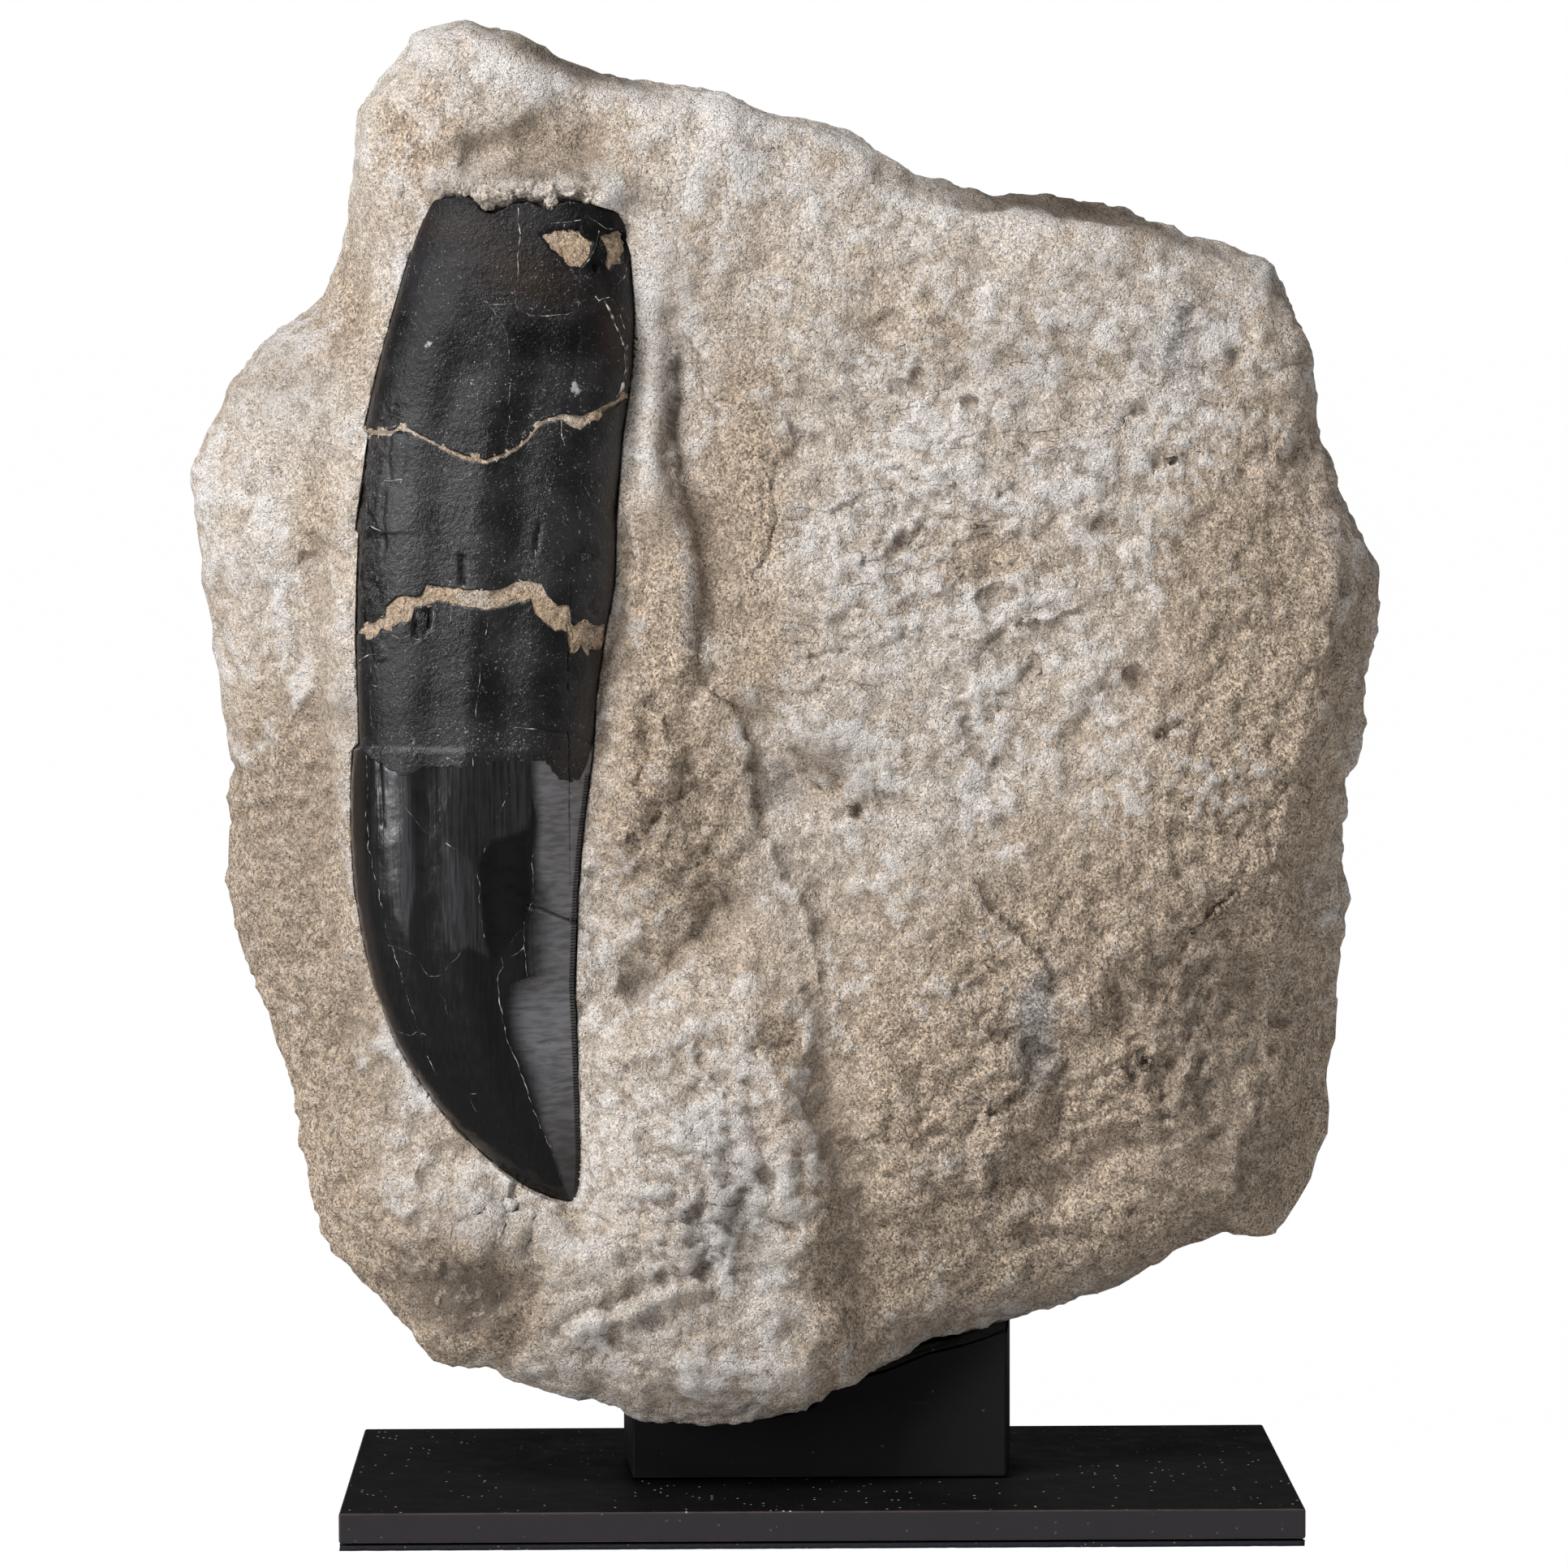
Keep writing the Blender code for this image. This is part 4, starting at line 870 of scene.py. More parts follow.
def even_stone(directions):
    """The stone without its forms in each direction, and how squarely it faces the front or the back."""
    polar = np.arccos(np.clip(-directions[:, 1], -1.0, 1.0))
    angle = np.arctan2(directions[:, 2], directions[:, 0])
    out, deep = out_and_deep(polar)
    in_front = polar < WIDEST
    rim = np.array(STONE_RIM)
    turn = np.degrees(angle) % 360.0
    widest, front_edge, back_edge = (np.interp(turn, rim[:, 0], rim[:, k]) for k in (1, 2, 3))
    edge = np.where(in_front, front_edge, back_edge)
    scale = (out ** edge + deep ** edge) ** (-1.0 / edge)
    radius, facing = out * scale * outline_radius(angle), deep * scale
    ends = np.where(in_front, STONE_FRONT, STONE_BACK)
    x = STONE_MIDDLE[0] * MM + radius * np.cos(angle)
    z = STONE_MIDDLE[1] * MM + radius * np.sin(angle)
    y = (widest + facing * (ends - widest)) * MM
    frontal = np.where(in_front, level_ends((facing - FORMS_FADE_FROM) / FORMS_FADE_OVER), 0.0)
    return np.column_stack([x, y, z]), facing, frontal


def divide_near_lines(bm):
    """Divides the ball once more along the thin lines of the front and round the tooth."""
    points, _, frontal = even_stone(points_of(bm))
    x, z = points[:, 0], points[:, 2]
    thin = [row[0] for row in LEDGES] + [row[0] for row in SMALL_LINES if row[1] < FINE_LINES]
    close = np.abs(from_tooth(x, z)[0])
    x, z = wandering(x, z)
    for line in thin:
        close = np.minimum(close, nearest_on_line(x, z, line)[0])
    fine = (close < FINE_WITHIN) & (frontal > 0.5)
    divide(bm, [edge for edge in bm.edges if all(fine[vert.index] for vert in edge.verts)])


def shaped_stone(directions):
    """The stone with its forms; towards the tooth its surface levels out."""
    points, facing, frontal = even_stone(directions)
    x, y, z = points.T
    y = y - frontal * front_forms(x, z)
    near = level_ends(1.0 - from_tooth(x, z)[0] / MEETING_REACH)
    near = near * level_ends((LIP_HEIGHT - z / MM) / LIP_FADE)
    y = y + near * (frontal > 0.5) * MEETING_SHARE * (MEETS_TOOTH_AT - y)
    return np.column_stack([x, y, z]), facing, frontal


def break_faces(points):
    """Flattens the sides, the back and the upper edge where the stone was broken off; the small breaks of the
    upper edge also give painted shade.
    """
    wobble, break_shade = BREAK_WOBBLE * lumps(points, WOBBLE_SIZE, 3, 0.7), np.zeros(len(points))
    for place, outwards, reach in STONE_BREAKS:
        normal = np.array(outwards) / np.linalg.norm(outwards)
        offset = points - np.array(place) * MM
        beyond = np.maximum(offset @ normal + wobble, 0.0)
        fade = level_ends(2.0 - np.linalg.norm(offset, axis=1) / (reach * MM))
        points = points - np.outer(beyond * BREAK_SHARE * fade, normal)
        if reach < SMALL_BREAK:
            break_shade = np.maximum(break_shade, level_ends(beyond / BREAK_SHADE_DEPTH) * fade)
    return points, break_shade


stone_bm = ball_with_fine_front()
divide_near_lines(stone_bm)
stone_points, stone_facing, stone_frontal = shaped_stone(points_of(stone_bm))
stone_points, painted_break_shade = break_faces(stone_points)
move_to(stone_bm, stone_points)
print("stone:", len(stone_bm.verts), "points,", len(stone_bm.faces), "faces")

# %% [markdown]
# ## The broken surface of sandstone
#
# Sandstone breaks from grain to grain, so its surface has relief at every size: soft lumps of a centimetre
# or two, crumbs of a few millimetres, small ledges where thin layers end, and pits where a clump fell out.
# Each size is one layer of noise that moves the points along their normals. The ledges come from noise that
# is cut into steps and drawn out along the bedding. How strong each layer is changes over the stone: some
# areas are hardly worn, others crumble.

# %% Surface relief
LUMP_SIZE = 18.0 * MM
LUMP_HEIGHT = 1.4 * MM
RIM_LUMP_SHARE = 0.25
BEDDING_TURN = math.radians(14.0)
BEDDING_STRETCH = (0.45, 1, 1.1)
# Layers of relief: height in millimetres, size of the lumps, octaves, roughness
SOFT_LUMPS = (0.52, 8.0, 5, 0.75)
CLUMPS = (0.34, 2.6, 2, 0.7)
THIN_LAYERS = (0.26, 3.4, 3, 0.6)
RIM_CRINKLES = (0.50, 1.5, 2, 0.8)
EVEN_SHARE = 0.55
CREASE_DEPTH = 0.30
CREASE_SPACING = 4.4 * MM
CREASE_SHARPNESS = 2.4
CRUMB_HEIGHT = 0.16
CRUMB_SIZE = 2.2 * MM
PIT_SPACING = 6.0 * MM
PIT_SHARE = 0.10
PIT_WIDTH = 0.16
PIT_DEPTH = 0.7 * MM

# Areas with their own strength of crumbs: middle, half width, half height, turn, strength added
CRUMBLY_AREAS = (
    (28, 56, 28, 24, -20, 0.7), (22, 118, 24, 24, 0, 0.35), (-44, 36, 17, 14, -20, 1.5),
    (-15, 38, 14, 24, 0, 0.8), (-10, 128, 8, 24, 0, -0.55), (-66, 110, 10, 34, 0, -0.35),
    (0, 168, 26, 9, -12, -0.5), (-20, 92, 8, 20, 0, 1.1), (-42, 178, 14, 10, 10, -0.4),
    (-62, 66, 9, 22, 0, 0.8), (-66, 90, 9, 10, 0, 1.1), (54, 62, 12, 26, 0, 0.5), (52, 115, 12, 28, 0, 0.5),
    (-22, 145, 4, 22, 0, -0.5),
)

# Areas where thin layers of the stone end: middle, half width, half height, turn, strength
LAYERED_AREAS = ((14, 122, 22, 24, 0, 1), (30, 140, 16, 10, 0, 0.5), (20, 52, 18, 14, 0, 0.6))


def pits(points, spacing):
    """1 at the middle of scattered pits, falling to 0 at their edges."""
    depth = np.zeros(len(points))
    for index, point in enumerate(points):
        distances, middles = noise.voronoi(Vector(point) / spacing)
        if noise.cell(middles[0] * 7.3) > 1.0 - PIT_SHARE:
            depth[index] = max(0.0, 1.0 - distances[0] / PIT_WIDTH)
    return level_ends(depth)


def crumbs(points, size):
    """Round crumbs of one size, from 0 between them to 1 on top."""
    away = np.array([noise.voronoi(Vector(point) / size)[0][0] for point in points])
    return level_ends(1.0 - away / 0.75)


def creases(points, size):
    """Sharp creases between rounded lumps, from 0 on the lumps to 1 in the creases."""
    return 1.0 - np.minimum(1.0, CREASE_SHARPNESS * np.abs(lumps(points, size)))


def along_bedding(points):
    """The points in a space where the stone's thin layers are level and as thick as they are long."""
    turn = np.array(Matrix.Rotation(BEDDING_TURN, 3, "Y"))
    return (points @ turn) * np.array(BEDDING_STRETCH)


def layer(points, height, size, octaves, roughness):
    """One layer of relief at each point, in millimetres."""
    return height * lumps(points, size * MM, octaves, roughness)


points = points_of(stone_bm)
strength = 1.0 + areas(points, CRUMBLY_AREAS)
layering = areas(points, LAYERED_AREAS)
at_rim = RIM_LUMP_SHARE + (1.0 - RIM_LUMP_SHARE) * np.minimum(stone_facing * 2.0, 1.0)
points += normals_of(stone_bm) * (lumps(points, LUMP_SIZE) * LUMP_HEIGHT * at_rim)[:, None]
move_to(stone_bm, points)

relief = layer(points, *SOFT_LUMPS) * (EVEN_SHARE + (1.0 - EVEN_SHARE) * strength)
relief += layer(points + 0.7, *CLUMPS) * strength
relief -= CREASE_DEPTH * creases(points, CREASE_SPACING) * strength
relief += CRUMB_HEIGHT * np.maximum(strength - 1.0, 0.0) * crumbs(points, CRUMB_SIZE)
relief += layer(along_bedding(points) + 0.3, *THIN_LAYERS) * layering
relief *= MM * (EVEN_SHARE + (1.0 - EVEN_SHARE) * at_rim)
relief += layer(points + 0.2, *RIM_CRINKLES) * MM * (1.0 - at_rim)
relief -= PIT_DEPTH * pits(points, PIT_SPACING)
points += normals_of(stone_bm) * relief[:, None]
move_to(stone_bm, points)
print("relief in mm, lowest and highest:", round(relief.min() / MM, 2), round(relief.max() / MM, 2))

# %% [markdown]
# ## The tooth's pocket
#
# The tooth lies bedded to half its depth. Points of the stone inside the tooth's outline are pressed back to
# just behind the tooth. The row of points nearest the outline is first drawn onto it, so that the stone meets
# the tooth along a clean line with a thin dark gap, and not along the saw teeth of the triangles.

# %% Pocket
POCKET_GAP = 0.15 * MM
POCKET_REACH = 0.24 * MM
POCKET_CLEARANCE = 0.3 * MM


def press_pocket(points, frontal):
    """The points with the pocket pressed in, and how far each lies outside the tooth's outline."""
    x, y, z = points.T.copy()
    signed, near_x, near_z = from_tooth(x, z)
    near = (frontal > 0.5) & (np.abs(signed) < POCKET_REACH)
    away = np.where(signed >= 0.0, np.maximum(signed, 1e-9), signed)
    x = np.where(near, near_x + (x - near_x) / away * POCKET_GAP, x)
    z = np.where(near, near_z + (z - near_z) / away * POCKET_GAP, z)
    middle, half = tooth_outline(z)
    across = np.clip((x - middle) / half, -1.0, 1.0)
    behind = TOOTH_MIDDLE_DEPTH + half_thickness(z) * dome(across, z) + POCKET_CLEARANCE
    inside = (frontal > 0.5) & (signed <= -POCKET_REACH)
    y = np.where(inside, np.maximum(y, behind), y)
    return np.column_stack([x, y, z]), signed


stone_points, in_pocket = press_pocket(points_of(stone_bm), stone_frontal)
stone_low, stone_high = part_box("matrix")
stone_points = np.clip(stone_points, np.array(stone_low), np.array(stone_high))
move_to(stone_bm, stone_points)
print("points inside the pocket:", int((in_pocket < 0.0).sum()))

# %% [markdown]
# ## What the mesh tells the material
#
# Hollows and valleys get painted shade, and high places are paler. The mesh knows where they are: a point
# that lies behind the average of its neighbours is in a hollow. Averaging a few times finds fine cracks, and
# averaging many times finds the valleys. Where the stone is tan, cool grey or white, and where it is painted
# darker, mostly as painted shade, is drawn with ovals. All of it is kept as values of the mesh's points.

# %% Hollows and colour areas
FINE_ROUNDS = 4
FINE_DEPTH = 0.12 * MM
BROAD_ROUNDS = 70
BROAD_DEPTH = 1.6 * MM
TAN_AREAS = (
    (-50, 173, 5, 7, 0, 0.6), (-65, 72, 9, 28, 0, 0.9), (-32, 173, 10, 4, 10, 0.5),
    (-58, 152, 5, 10, 20, 0.6), (-9, 126, 5.5, 24, 0, 0.8), (-20, 115, 5, 12, 0, 0.7),
    (48, 63, 14, 26, 0, 0.9), (54, 110, 12, 28, 0, 0.9), (13, 60, 12, 16, 0, 0.7),
    (-18, 88, 8, 17, 10, 0.9), (20, 35, 16, 7, 10, 0.7), (-43.5, 29, 8, 6, 10, 1.4),
    (20, 122, 10, 6, 0, 0.4), (4, 30, 5, 14, 0, 0.7), (1.6, 95, 4, 3.5, 0, 0.7), (30, 76, 12, 7, -20, 0.5),
    (12, 152, 8, 5, 0, 0.4), (-5, 62, 3, 3.5, 0, 0.8), (22, 90, 4, 3, 0, 0.3), (-62, 128, 3, 9, 0, 0.5),
    (56, 44, 14, 12, 0, 0.9), (40, 84, 18, 12, -20, 0.2), (40, 60, 22, 16, 0, 0.5),
    (-66, 52, 8, 16, 10, 0.9), (-52, 30, 10, 8, 20, 0.9), (28, 40, 24, 12, 10, 0.6),
    (-70, 88, 7, 12, 0, 0.9),
)
GREY_AREAS = (
    (45, 148, 9, 8, 0, 1), (-3, 172, 14, 8, -10, 0.5), (26, 97, 16, 10, 0, 0.5), (-11, 42, 8, 16, 0, 1),
    (-68, 116, 7, 14, 0, 0.6), (-44, 41, 9, 7, 0, 0.7), (27, 62.5, 3.6, 9, 0, 1.2), (-5, 93, 4, 5, 20, 0.9),
    (30, 133, 10, 6, 0, 0.5), (-40, 184, 12, 5, 0, 0.3), (-16, 118, 2, 9, 0, 0.9), (-22, 69, 4, 3.5, 30, 1),
    (6, 86, 8, 5, -10, 0.5), (18, 46, 7, 4, 0, 0.5),
)
WHITE_AREAS = (
    (-46, 183, 9, 7, 0, 0.7), (-8, 172, 18, 7, -12, 0.7), (-69, 116, 7, 17, 0, 0.5),
    (-51, 56, 4, 9, 20, 0.8), (-40, 43, 13, 4, 0, 0.5), (-12, 48, 11, 16, 0, 0.7), (10, 98, 14, 6, 0, 0.6),
    (-7, 96, 3, 5, 20, 0.8), (28, 96, 10, 8, 0, 0.5), (14, 128, 22, 16, 0, 0.7),
    (-20.5, 148, 2, 14, 0, 0.6), (44, 146, 12, 9, 0, 0.4), (15, 150, 20, 10, -20, 0.3),
    (-37, 168, 13, 2, 0, 0.7), (-20, 20, 14, 6, 0, 0.4), (-67.4, 101.8, 7, 0.9, 50, 1.6),
    (48.5, 96, 6.5, 7, 0, 0.9),
)
# Places painted darker than the rest: mostly painted shade in hollows, under overhangs and along ledges, some
# only a darker tone
SHADE_AND_DARK_TONE_AREAS = (
    (-67, 145, 8, 7, 0, 0.3), (-68, 84, 8, 20, 0, 0.32), (-59, 58, 6, 12, 0, 0.25),
    (-36, 169.3, 8, 1.6, 4, 0.5), (-28, 171.7, 3.6, 2.4, 10, 0.2), (-18.6, 140, 1.7, 14, 0, 0.75),
    (0.5, 96.8, 4.8, 3.6, 0, 0.65), (-19, 86, 6, 10, 0, 0.28), (48, 64, 8, 13, 0, 0.5),
    (50, 45, 9, 8, 0, 0.42), (-10, 41, 5, 8, 0, 0.34), (-18, 26, 7, 5, 0, 0.2),
    (-43.5, 29.6, 7.4, 4.6, 8, 1.1), (-52, 33, 5, 4, 0, 0.4), (-15, 157, 4, 8, 0, 0.2),
    (-34.5, 184.6, 9, 1.5, -23, 0.9), (-25, 181.3, 4.5, 1.2, -16, 0.7), (38.4, 57.8, 1.7, 0.25, -40, 1.5),
    (-58.4, 103.6, 1.6, 2.4, 0, 0.5), (31, 166, 13, 2, -8, 1.2), (45.5, 160.9, 8, 1, -17, 0.55),
    (47.7, 154.4, 1.6, 3.6, 10, 0.34), (50.6, 147, 1.2, 2.5, 0, 0.4), (38.9, 148.6, 1.6, 2.6, -20, 0.3),
    (36.5, 157.6, 2.4, 1.2, -30, 0.3), (50, 120, 8, 11, 0, 0.18), (-24, 113, 1.8, 8, 0, 0.4),
    (-10, 122, 3, 20, 0, 0.2), (20, 147, 8, 5, 0, 0.16), (8, 36, 10, 8, 0, 0.14), (-44, 39, 9, 3, 0, 0.22),
)


def both_ways(bm):
    """The two ends of every edge, both ways round."""
    ends = np.array([[vert.index for vert in edge.verts] for edge in bm.edges])
    return np.concatenate([ends[:, 0], ends[:, 1]]), np.concatenate([ends[:, 1], ends[:, 0]])


def average(values, ends, rounds):
    """Each point's value averaged with its neighbours', so many times."""
    count = np.bincount(ends[0], minlength=len(values))
    for _ in range(rounds):
        values = np.bincount(ends[0], weights=values[ends[1]], minlength=len(values)) / count
    return values


def hollow(bm, rounds, depth):
    """From -1 on high places to 1 in hollows, against the average of the neighbourhood."""
    points, normals, ends = points_of(bm), normals_of(bm), both_ways(bm)
    mean = np.column_stack([average(points[:, k], ends, rounds) for k in range(3)])
    return np.clip(((mean - points) * normals).sum(axis=1) / depth, -1.0, 1.0)


stone_values = {
    "hollow": hollow(stone_bm, FINE_ROUNDS, FINE_DEPTH),
    "valley": hollow(stone_bm, BROAD_ROUNDS, BROAD_DEPTH),
    "tan": areas(stone_points, TAN_AREAS),
    "grey": areas(stone_points, GREY_AREAS),
    "white": areas(stone_points, WHITE_AREAS),
    "break_shade": painted_break_shade,
    "shade_and_dark_tone": areas(stone_points, SHADE_AND_DARK_TONE_AREAS),
    "layered": np.clip(areas(stone_points, LAYERED_AREAS), 0.0, 1.0),
}
print("share of the stone in hollows:", round(float((stone_values["hollow"] > 0.3).mean()), 2))

# %% [markdown]
# ## Sand grains, as a node group
#
# The stone and the fillings of the breaks are the same sandstone, so its grains are one node group. It has
# the size of a grain as its input. It gives a height for the bump, made of round grains and soft noise, and
# masks for the few dark and rust-coloured grains.

# %% Sand grains
grains, coming, going = new_group(
    "sand_grains", (("Grain Size", "NodeSocketFloat", 0.30 * MM),),
    ("Height", "Dark Grains", "Warm Grains", "Speckle"))
scale = maths(grains, "DIVIDE", 1.0, coming["Grain Size"])
place = add(grains, "TexCoord").outputs["Object"]
cells = add(grains, "TexVoronoi", {"Vector": place, "Scale": scale, "Randomness": 1.0})
dust = add(grains, "TexNoise", {"Vector": place, "Scale": times(grains, scale, 0.45), "Detail": 4.0,
                                "Roughness": 0.65}).outputs[0]
parts = add(grains, "SeparateColor", {0: cells.outputs["Color"]}).outputs
core = rising(grains, cells.outputs["Distance"], 0.55, 0.25)
round_grain = minus(grains, 1.0, cells.outputs["Distance"])
give(grains, going, {
    "Height": plus(grains, times(grains, round_grain, 0.45), dust),
    "Dark Grains": times(grains, core, rising(grains, parts[0], 0.955, 0.965)),
    "Warm Grains": times(grains, core, rising(grains, parts[1], 0.975, 0.985)),
    "Speckle": parts[2],
})
print("node group:", grains.name)

# %% [markdown]
# ## Sandstone
#
# The colour starts from cream. Tan comes in where the stone is stained, cool grey where it is bleached, each
# with a ragged border from noise. Painted shade darkens hollows and valleys, the steps of thin layers, small
# pores, the small breaks of the upper edge and the listed darker places; in the tan areas small pits get
# painted shade and small crumbs painted light, and high places are paler. On top come the grains, first as
# light and dark speckle and then as single dark or rusty ones. Two bumps add what is finer than the mesh.

# %% Sandstone material
CREAM = (0.66, 0.596, 0.536, 1)
TAN = (0.5, 0.394, 0.299, 1)
COOL_GREY = (0.47, 0.445, 0.43, 1)
WHITE_CRUST = (0.79, 0.757, 0.735, 1)
DARK_SHADE = (0.17, 0.135, 0.105, 1)
DARK_GRAIN = (0.1, 0.085, 0.075, 1)
WARM_GRAIN = (0.52, 0.3, 0.14, 1)
FILLING_CREAM = (0.57, 0.47, 0.37, 1.0)
FILLING_TAN = (0.40, 0.285, 0.19, 1.0)
BEDDING_SLOPE = 0.30


def sandstone(name, cream, tanned, stained, grain_size):
    """Sandstone with its two colours; the stone's own values are 0 on a mesh that has none."""
    material, tree, shader = new_material(name, Roughness=0.93, Specular_IOR_Level=0.25)
    wide, middling = clouds(tree, 12.0 * MM, 5.0), clouds(tree, 4.5 * MM, 6.0, roughness=0.62)
    small, chalk = clouds(tree, 1.3 * MM, 5.0, roughness=0.65), clouds(tree, 7.0 * MM, 7.0, roughness=0.56)
    sand = add(tree, "Group", node_tree=grains)
    sand.inputs["Grain Size"].default_value = grain_size
    grain = sand.outputs["Speckle"]
    tan_here, hollow_here = measured(tree, "tan"), measured(tree, "hollow")
    ragged = plus(tree, times(tree, wide, 0.55), times(tree, middling, 0.5), times(tree, small, 0.25),
                  times(tree, grain, 0.16))
    tan = plus(tree, times(tree, tan_here, 0.55), ragged)
    grey = plus(tree, times(tree, measured(tree, "grey"), 0.55), minus(tree, 1.3, ragged))
    layers = clouds(tree, 3.4 * MM, 3.0, place_of(tree, (0.30, 1.0, 1.0), (0.0, BEDDING_SLOPE, 0.0)))
    ledge = rising(tree, layers, 0.50, 0.535)
    layered = times(tree, rising(tree, middling, 0.42, 0.60),
                    plus(tree, 0.25, times(tree, measured(tree, "layered"), 0.75)))
    colour = coats(tree, cream,
                   (rising(tree, tan, 0.50 - stained, 1.08 - stained), tanned),
                   (rising(tree, grey, 0.72, 1.25, 0.0, 0.9), COOL_GREY),
                   # A dark line at each step of the thin layers: painted shade under the step.
                   (times(tree, ledge, minus(tree, 1.0, ledge), layered, 2.6), DARK_SHADE))
    grainy = rising(tree, tan_here, 0.0, 0.8, 0.82, 1.35)
    speckle = plus(tree, times(tree, minus(tree, grain, 0.5), grainy), 1.03)
    shade = add(tree, "CombineColor", {0: speckle, 1: speckle, 2: speckle}).outputs[0]
    colour = blend(tree, 1.0, colour, shade, "MULTIPLY")
    # Less white crust in hollows and more on high places, from the hollow values.
    crust = plus(tree, minus(tree, chalk, times(tree, hollow_here, 0.12)),
                 times(tree, minus(tree, grain, 0.5), 0.08), times(tree, measured(tree, "white"), 0.15))
    crust = minus(tree, crust, times(tree, tan_here, 0.16))
    valley_shade = plus(tree, measured(tree, "valley"), minus(tree, chalk, 0.5))
    mottled = plus(tree, times(tree, plus(tree, middling, small), 0.8), times(tree, grain, 0.45))
    # Tiny dark pores: painted shade of small pits.
    pore_shade = plus(tree, clouds(tree, 0.55 * MM, 2.0), times(tree, small, 0.5))
    tan_light_and_shade = rising(tree, tan_here, 0.1, 0.8)
    colour = coats(tree, colour,
                   (rising(tree, crust, 0.48, 0.80, 0.0, 0.75), WHITE_CRUST),
                   # Valleys painted tan and hollows painted dark: painted shade.
                   (rising(tree, valley_shade, 0.10, 1.1, 0.0, 0.30), TAN),
                   (rising(tree, hollow_here, 0.15, 1.0, 0.0, 0.26), DARK_SHADE),
                   # The small breaks of the upper edge painted dark: painted shade.
                   (times(tree, measured(tree, "break_shade"), 0.75), DARK_SHADE),
                   # The listed darker places, mostly painted shade.
                   (times(tree, measured(tree, "shade_and_dark_tone"), mottled), DARK_SHADE),
                   (rising(tree, pore_shade, 0.55, 0.42, 0.0, 0.55), DARK_SHADE),
                   # In the tan areas small pits are painted darker and small crumbs paler: painted shade and
                   # painted light of relief finer than the mesh.
                   (times(tree, rising(tree, small, 0.47, 0.36, 0.0, 0.42), tan_light_and_shade), DARK_SHADE),
                   (times(tree, rising(tree, small, 0.54, 0.66, 0.0, 0.45), tan_light_and_shade), CREAM),
                   (times(tree, sand.outputs["Dark Grains"], 0.75), DARK_GRAIN),
                   (times(tree, sand.outputs["Warm Grains"], 0.45), WARM_GRAIN))
    surface = bump(tree, plus(tree, small, times(tree, middling, 0.7)), 1.25 * MM)
    surface = bump(tree, times(tree, ledge, layered), 0.35 * MM, surface)
    surface = bump(tree, sand.outputs["Height"], 0.36 * MM, surface)
    use(tree, shader, Base_Color=colour, Normal=surface)
    return material


stone_material = sandstone("sandstone", CREAM, TAN, 0.0, 0.26 * MM)
filling_material = sandstone("sandstone_filling", FILLING_CREAM, FILLING_TAN, 0.15, 0.28 * MM)
stone = finish_piece(stone_bm, "stone", stone_material, "sandstone", "matrix")
keep_values(stone, **stone_values)

# %% [markdown]
# ## The pieces of the tooth
#
# The tooth is in three pieces. Each is a ball again, this time with meridians: the first rings close the
# break at either end, and the rest run down the side from one break line to the other. More meridians go to
# the front than to the back, which nobody sees. Noise along the normals gives the fossil its slight
# unevenness, and the flaked places at its left edge are much rougher.

# %% Tooth pieces
TOOTH_SIDES = 280
FRONT_MERIDIANS = 0.74
CAP_RINGS = 5
ROUNDING = 0.10 * MM
SKIN_SIZE = 3.2 * MM
SKIN_HEIGHT = 0.05 * MM
FLAKE_SIZE = 0.9 * MM
FLAKE_HEIGHT = 0.26 * MM
FLAKED = (
    (-55.2, 126, 1.3, 9, 0, 1), (-54.6, 117, 1.6, 4, 0, 1), (-52.4, 139.8, 1.5, 1, 30, 1),
    (-51.2, 138.4, 0.9, 0.9, 0, 0.8), (-54.2, 134.4, 1.2, 3.4, 0, 0.6), (-28.3, 122.3, 1.3, 0.7, 0, 1),
    (-27.6, 116.4, 0.8, 1.2, 0, 0.8), (-54, 110.4, 1.2, 2, 0, 0.4), (-48.8, 114.6, 0.9, 1.6, 0, 0.9),
    (-26.5, 160, 0.8, 1.8, 0, 0.7),
)
# Grooves: width, depth, points
GROOVES = (
    (0.2, 0.55, ((-43.7, 122.6), (-43.7, 119))),
    (0.2, 0.36, ((-34.2, 126.6), (-34.5, 125.2), (-34.8, 123.2))),
    (0.2, 0.18, ((-29.4, 150.6), (-29.6, 147.3), (-30, 145.1), (-30.4, 143.9))),
    (0.22, 0.14, ((-54.3, 98.3), (-54.1, 95.3), (-53.8, 89.4))),
    (0.24, 0.3, ((-36.2, 79.6), (-34.2, 79), (-32.2, 77.9), (-30.3, 77.1))),
    (0.3, 0.14, ((-37.4, 61.8), (-34, 62.3), (-30.6, 62.2))),
    (0.22, 0.16, ((-52.6, 137.6), (-52.9, 134.6), (-52.5, 131.6))),
    (0.2, 0.14, ((-50.6, 137.4), (-50.3, 134.6), (-50.6, 132.6))),
    (0.24, 0.2, ((-55.2, 131.2), (-54.8, 128.2))),
    (0.24, 0.24, ((-53.3, 130.2), (-53.7, 127), (-53.3, 123.6))),
    (0.22, 0.2, ((-34.8, 101.4), (-30.6, 100.6), (-28.2, 99.4))),
    (0.5, 0.28, ((-27.4, 157.9), (-27.3, 157.6))), (0.24, 0.35, ((-49.6, 114.8), (-49.4, 112.4))),
    (0.26, 0.4, ((-47.7, 116.6), (-47.9, 113.8))), (0.24, 0.3, ((-56.2, 116), (-56, 113.6))),
)
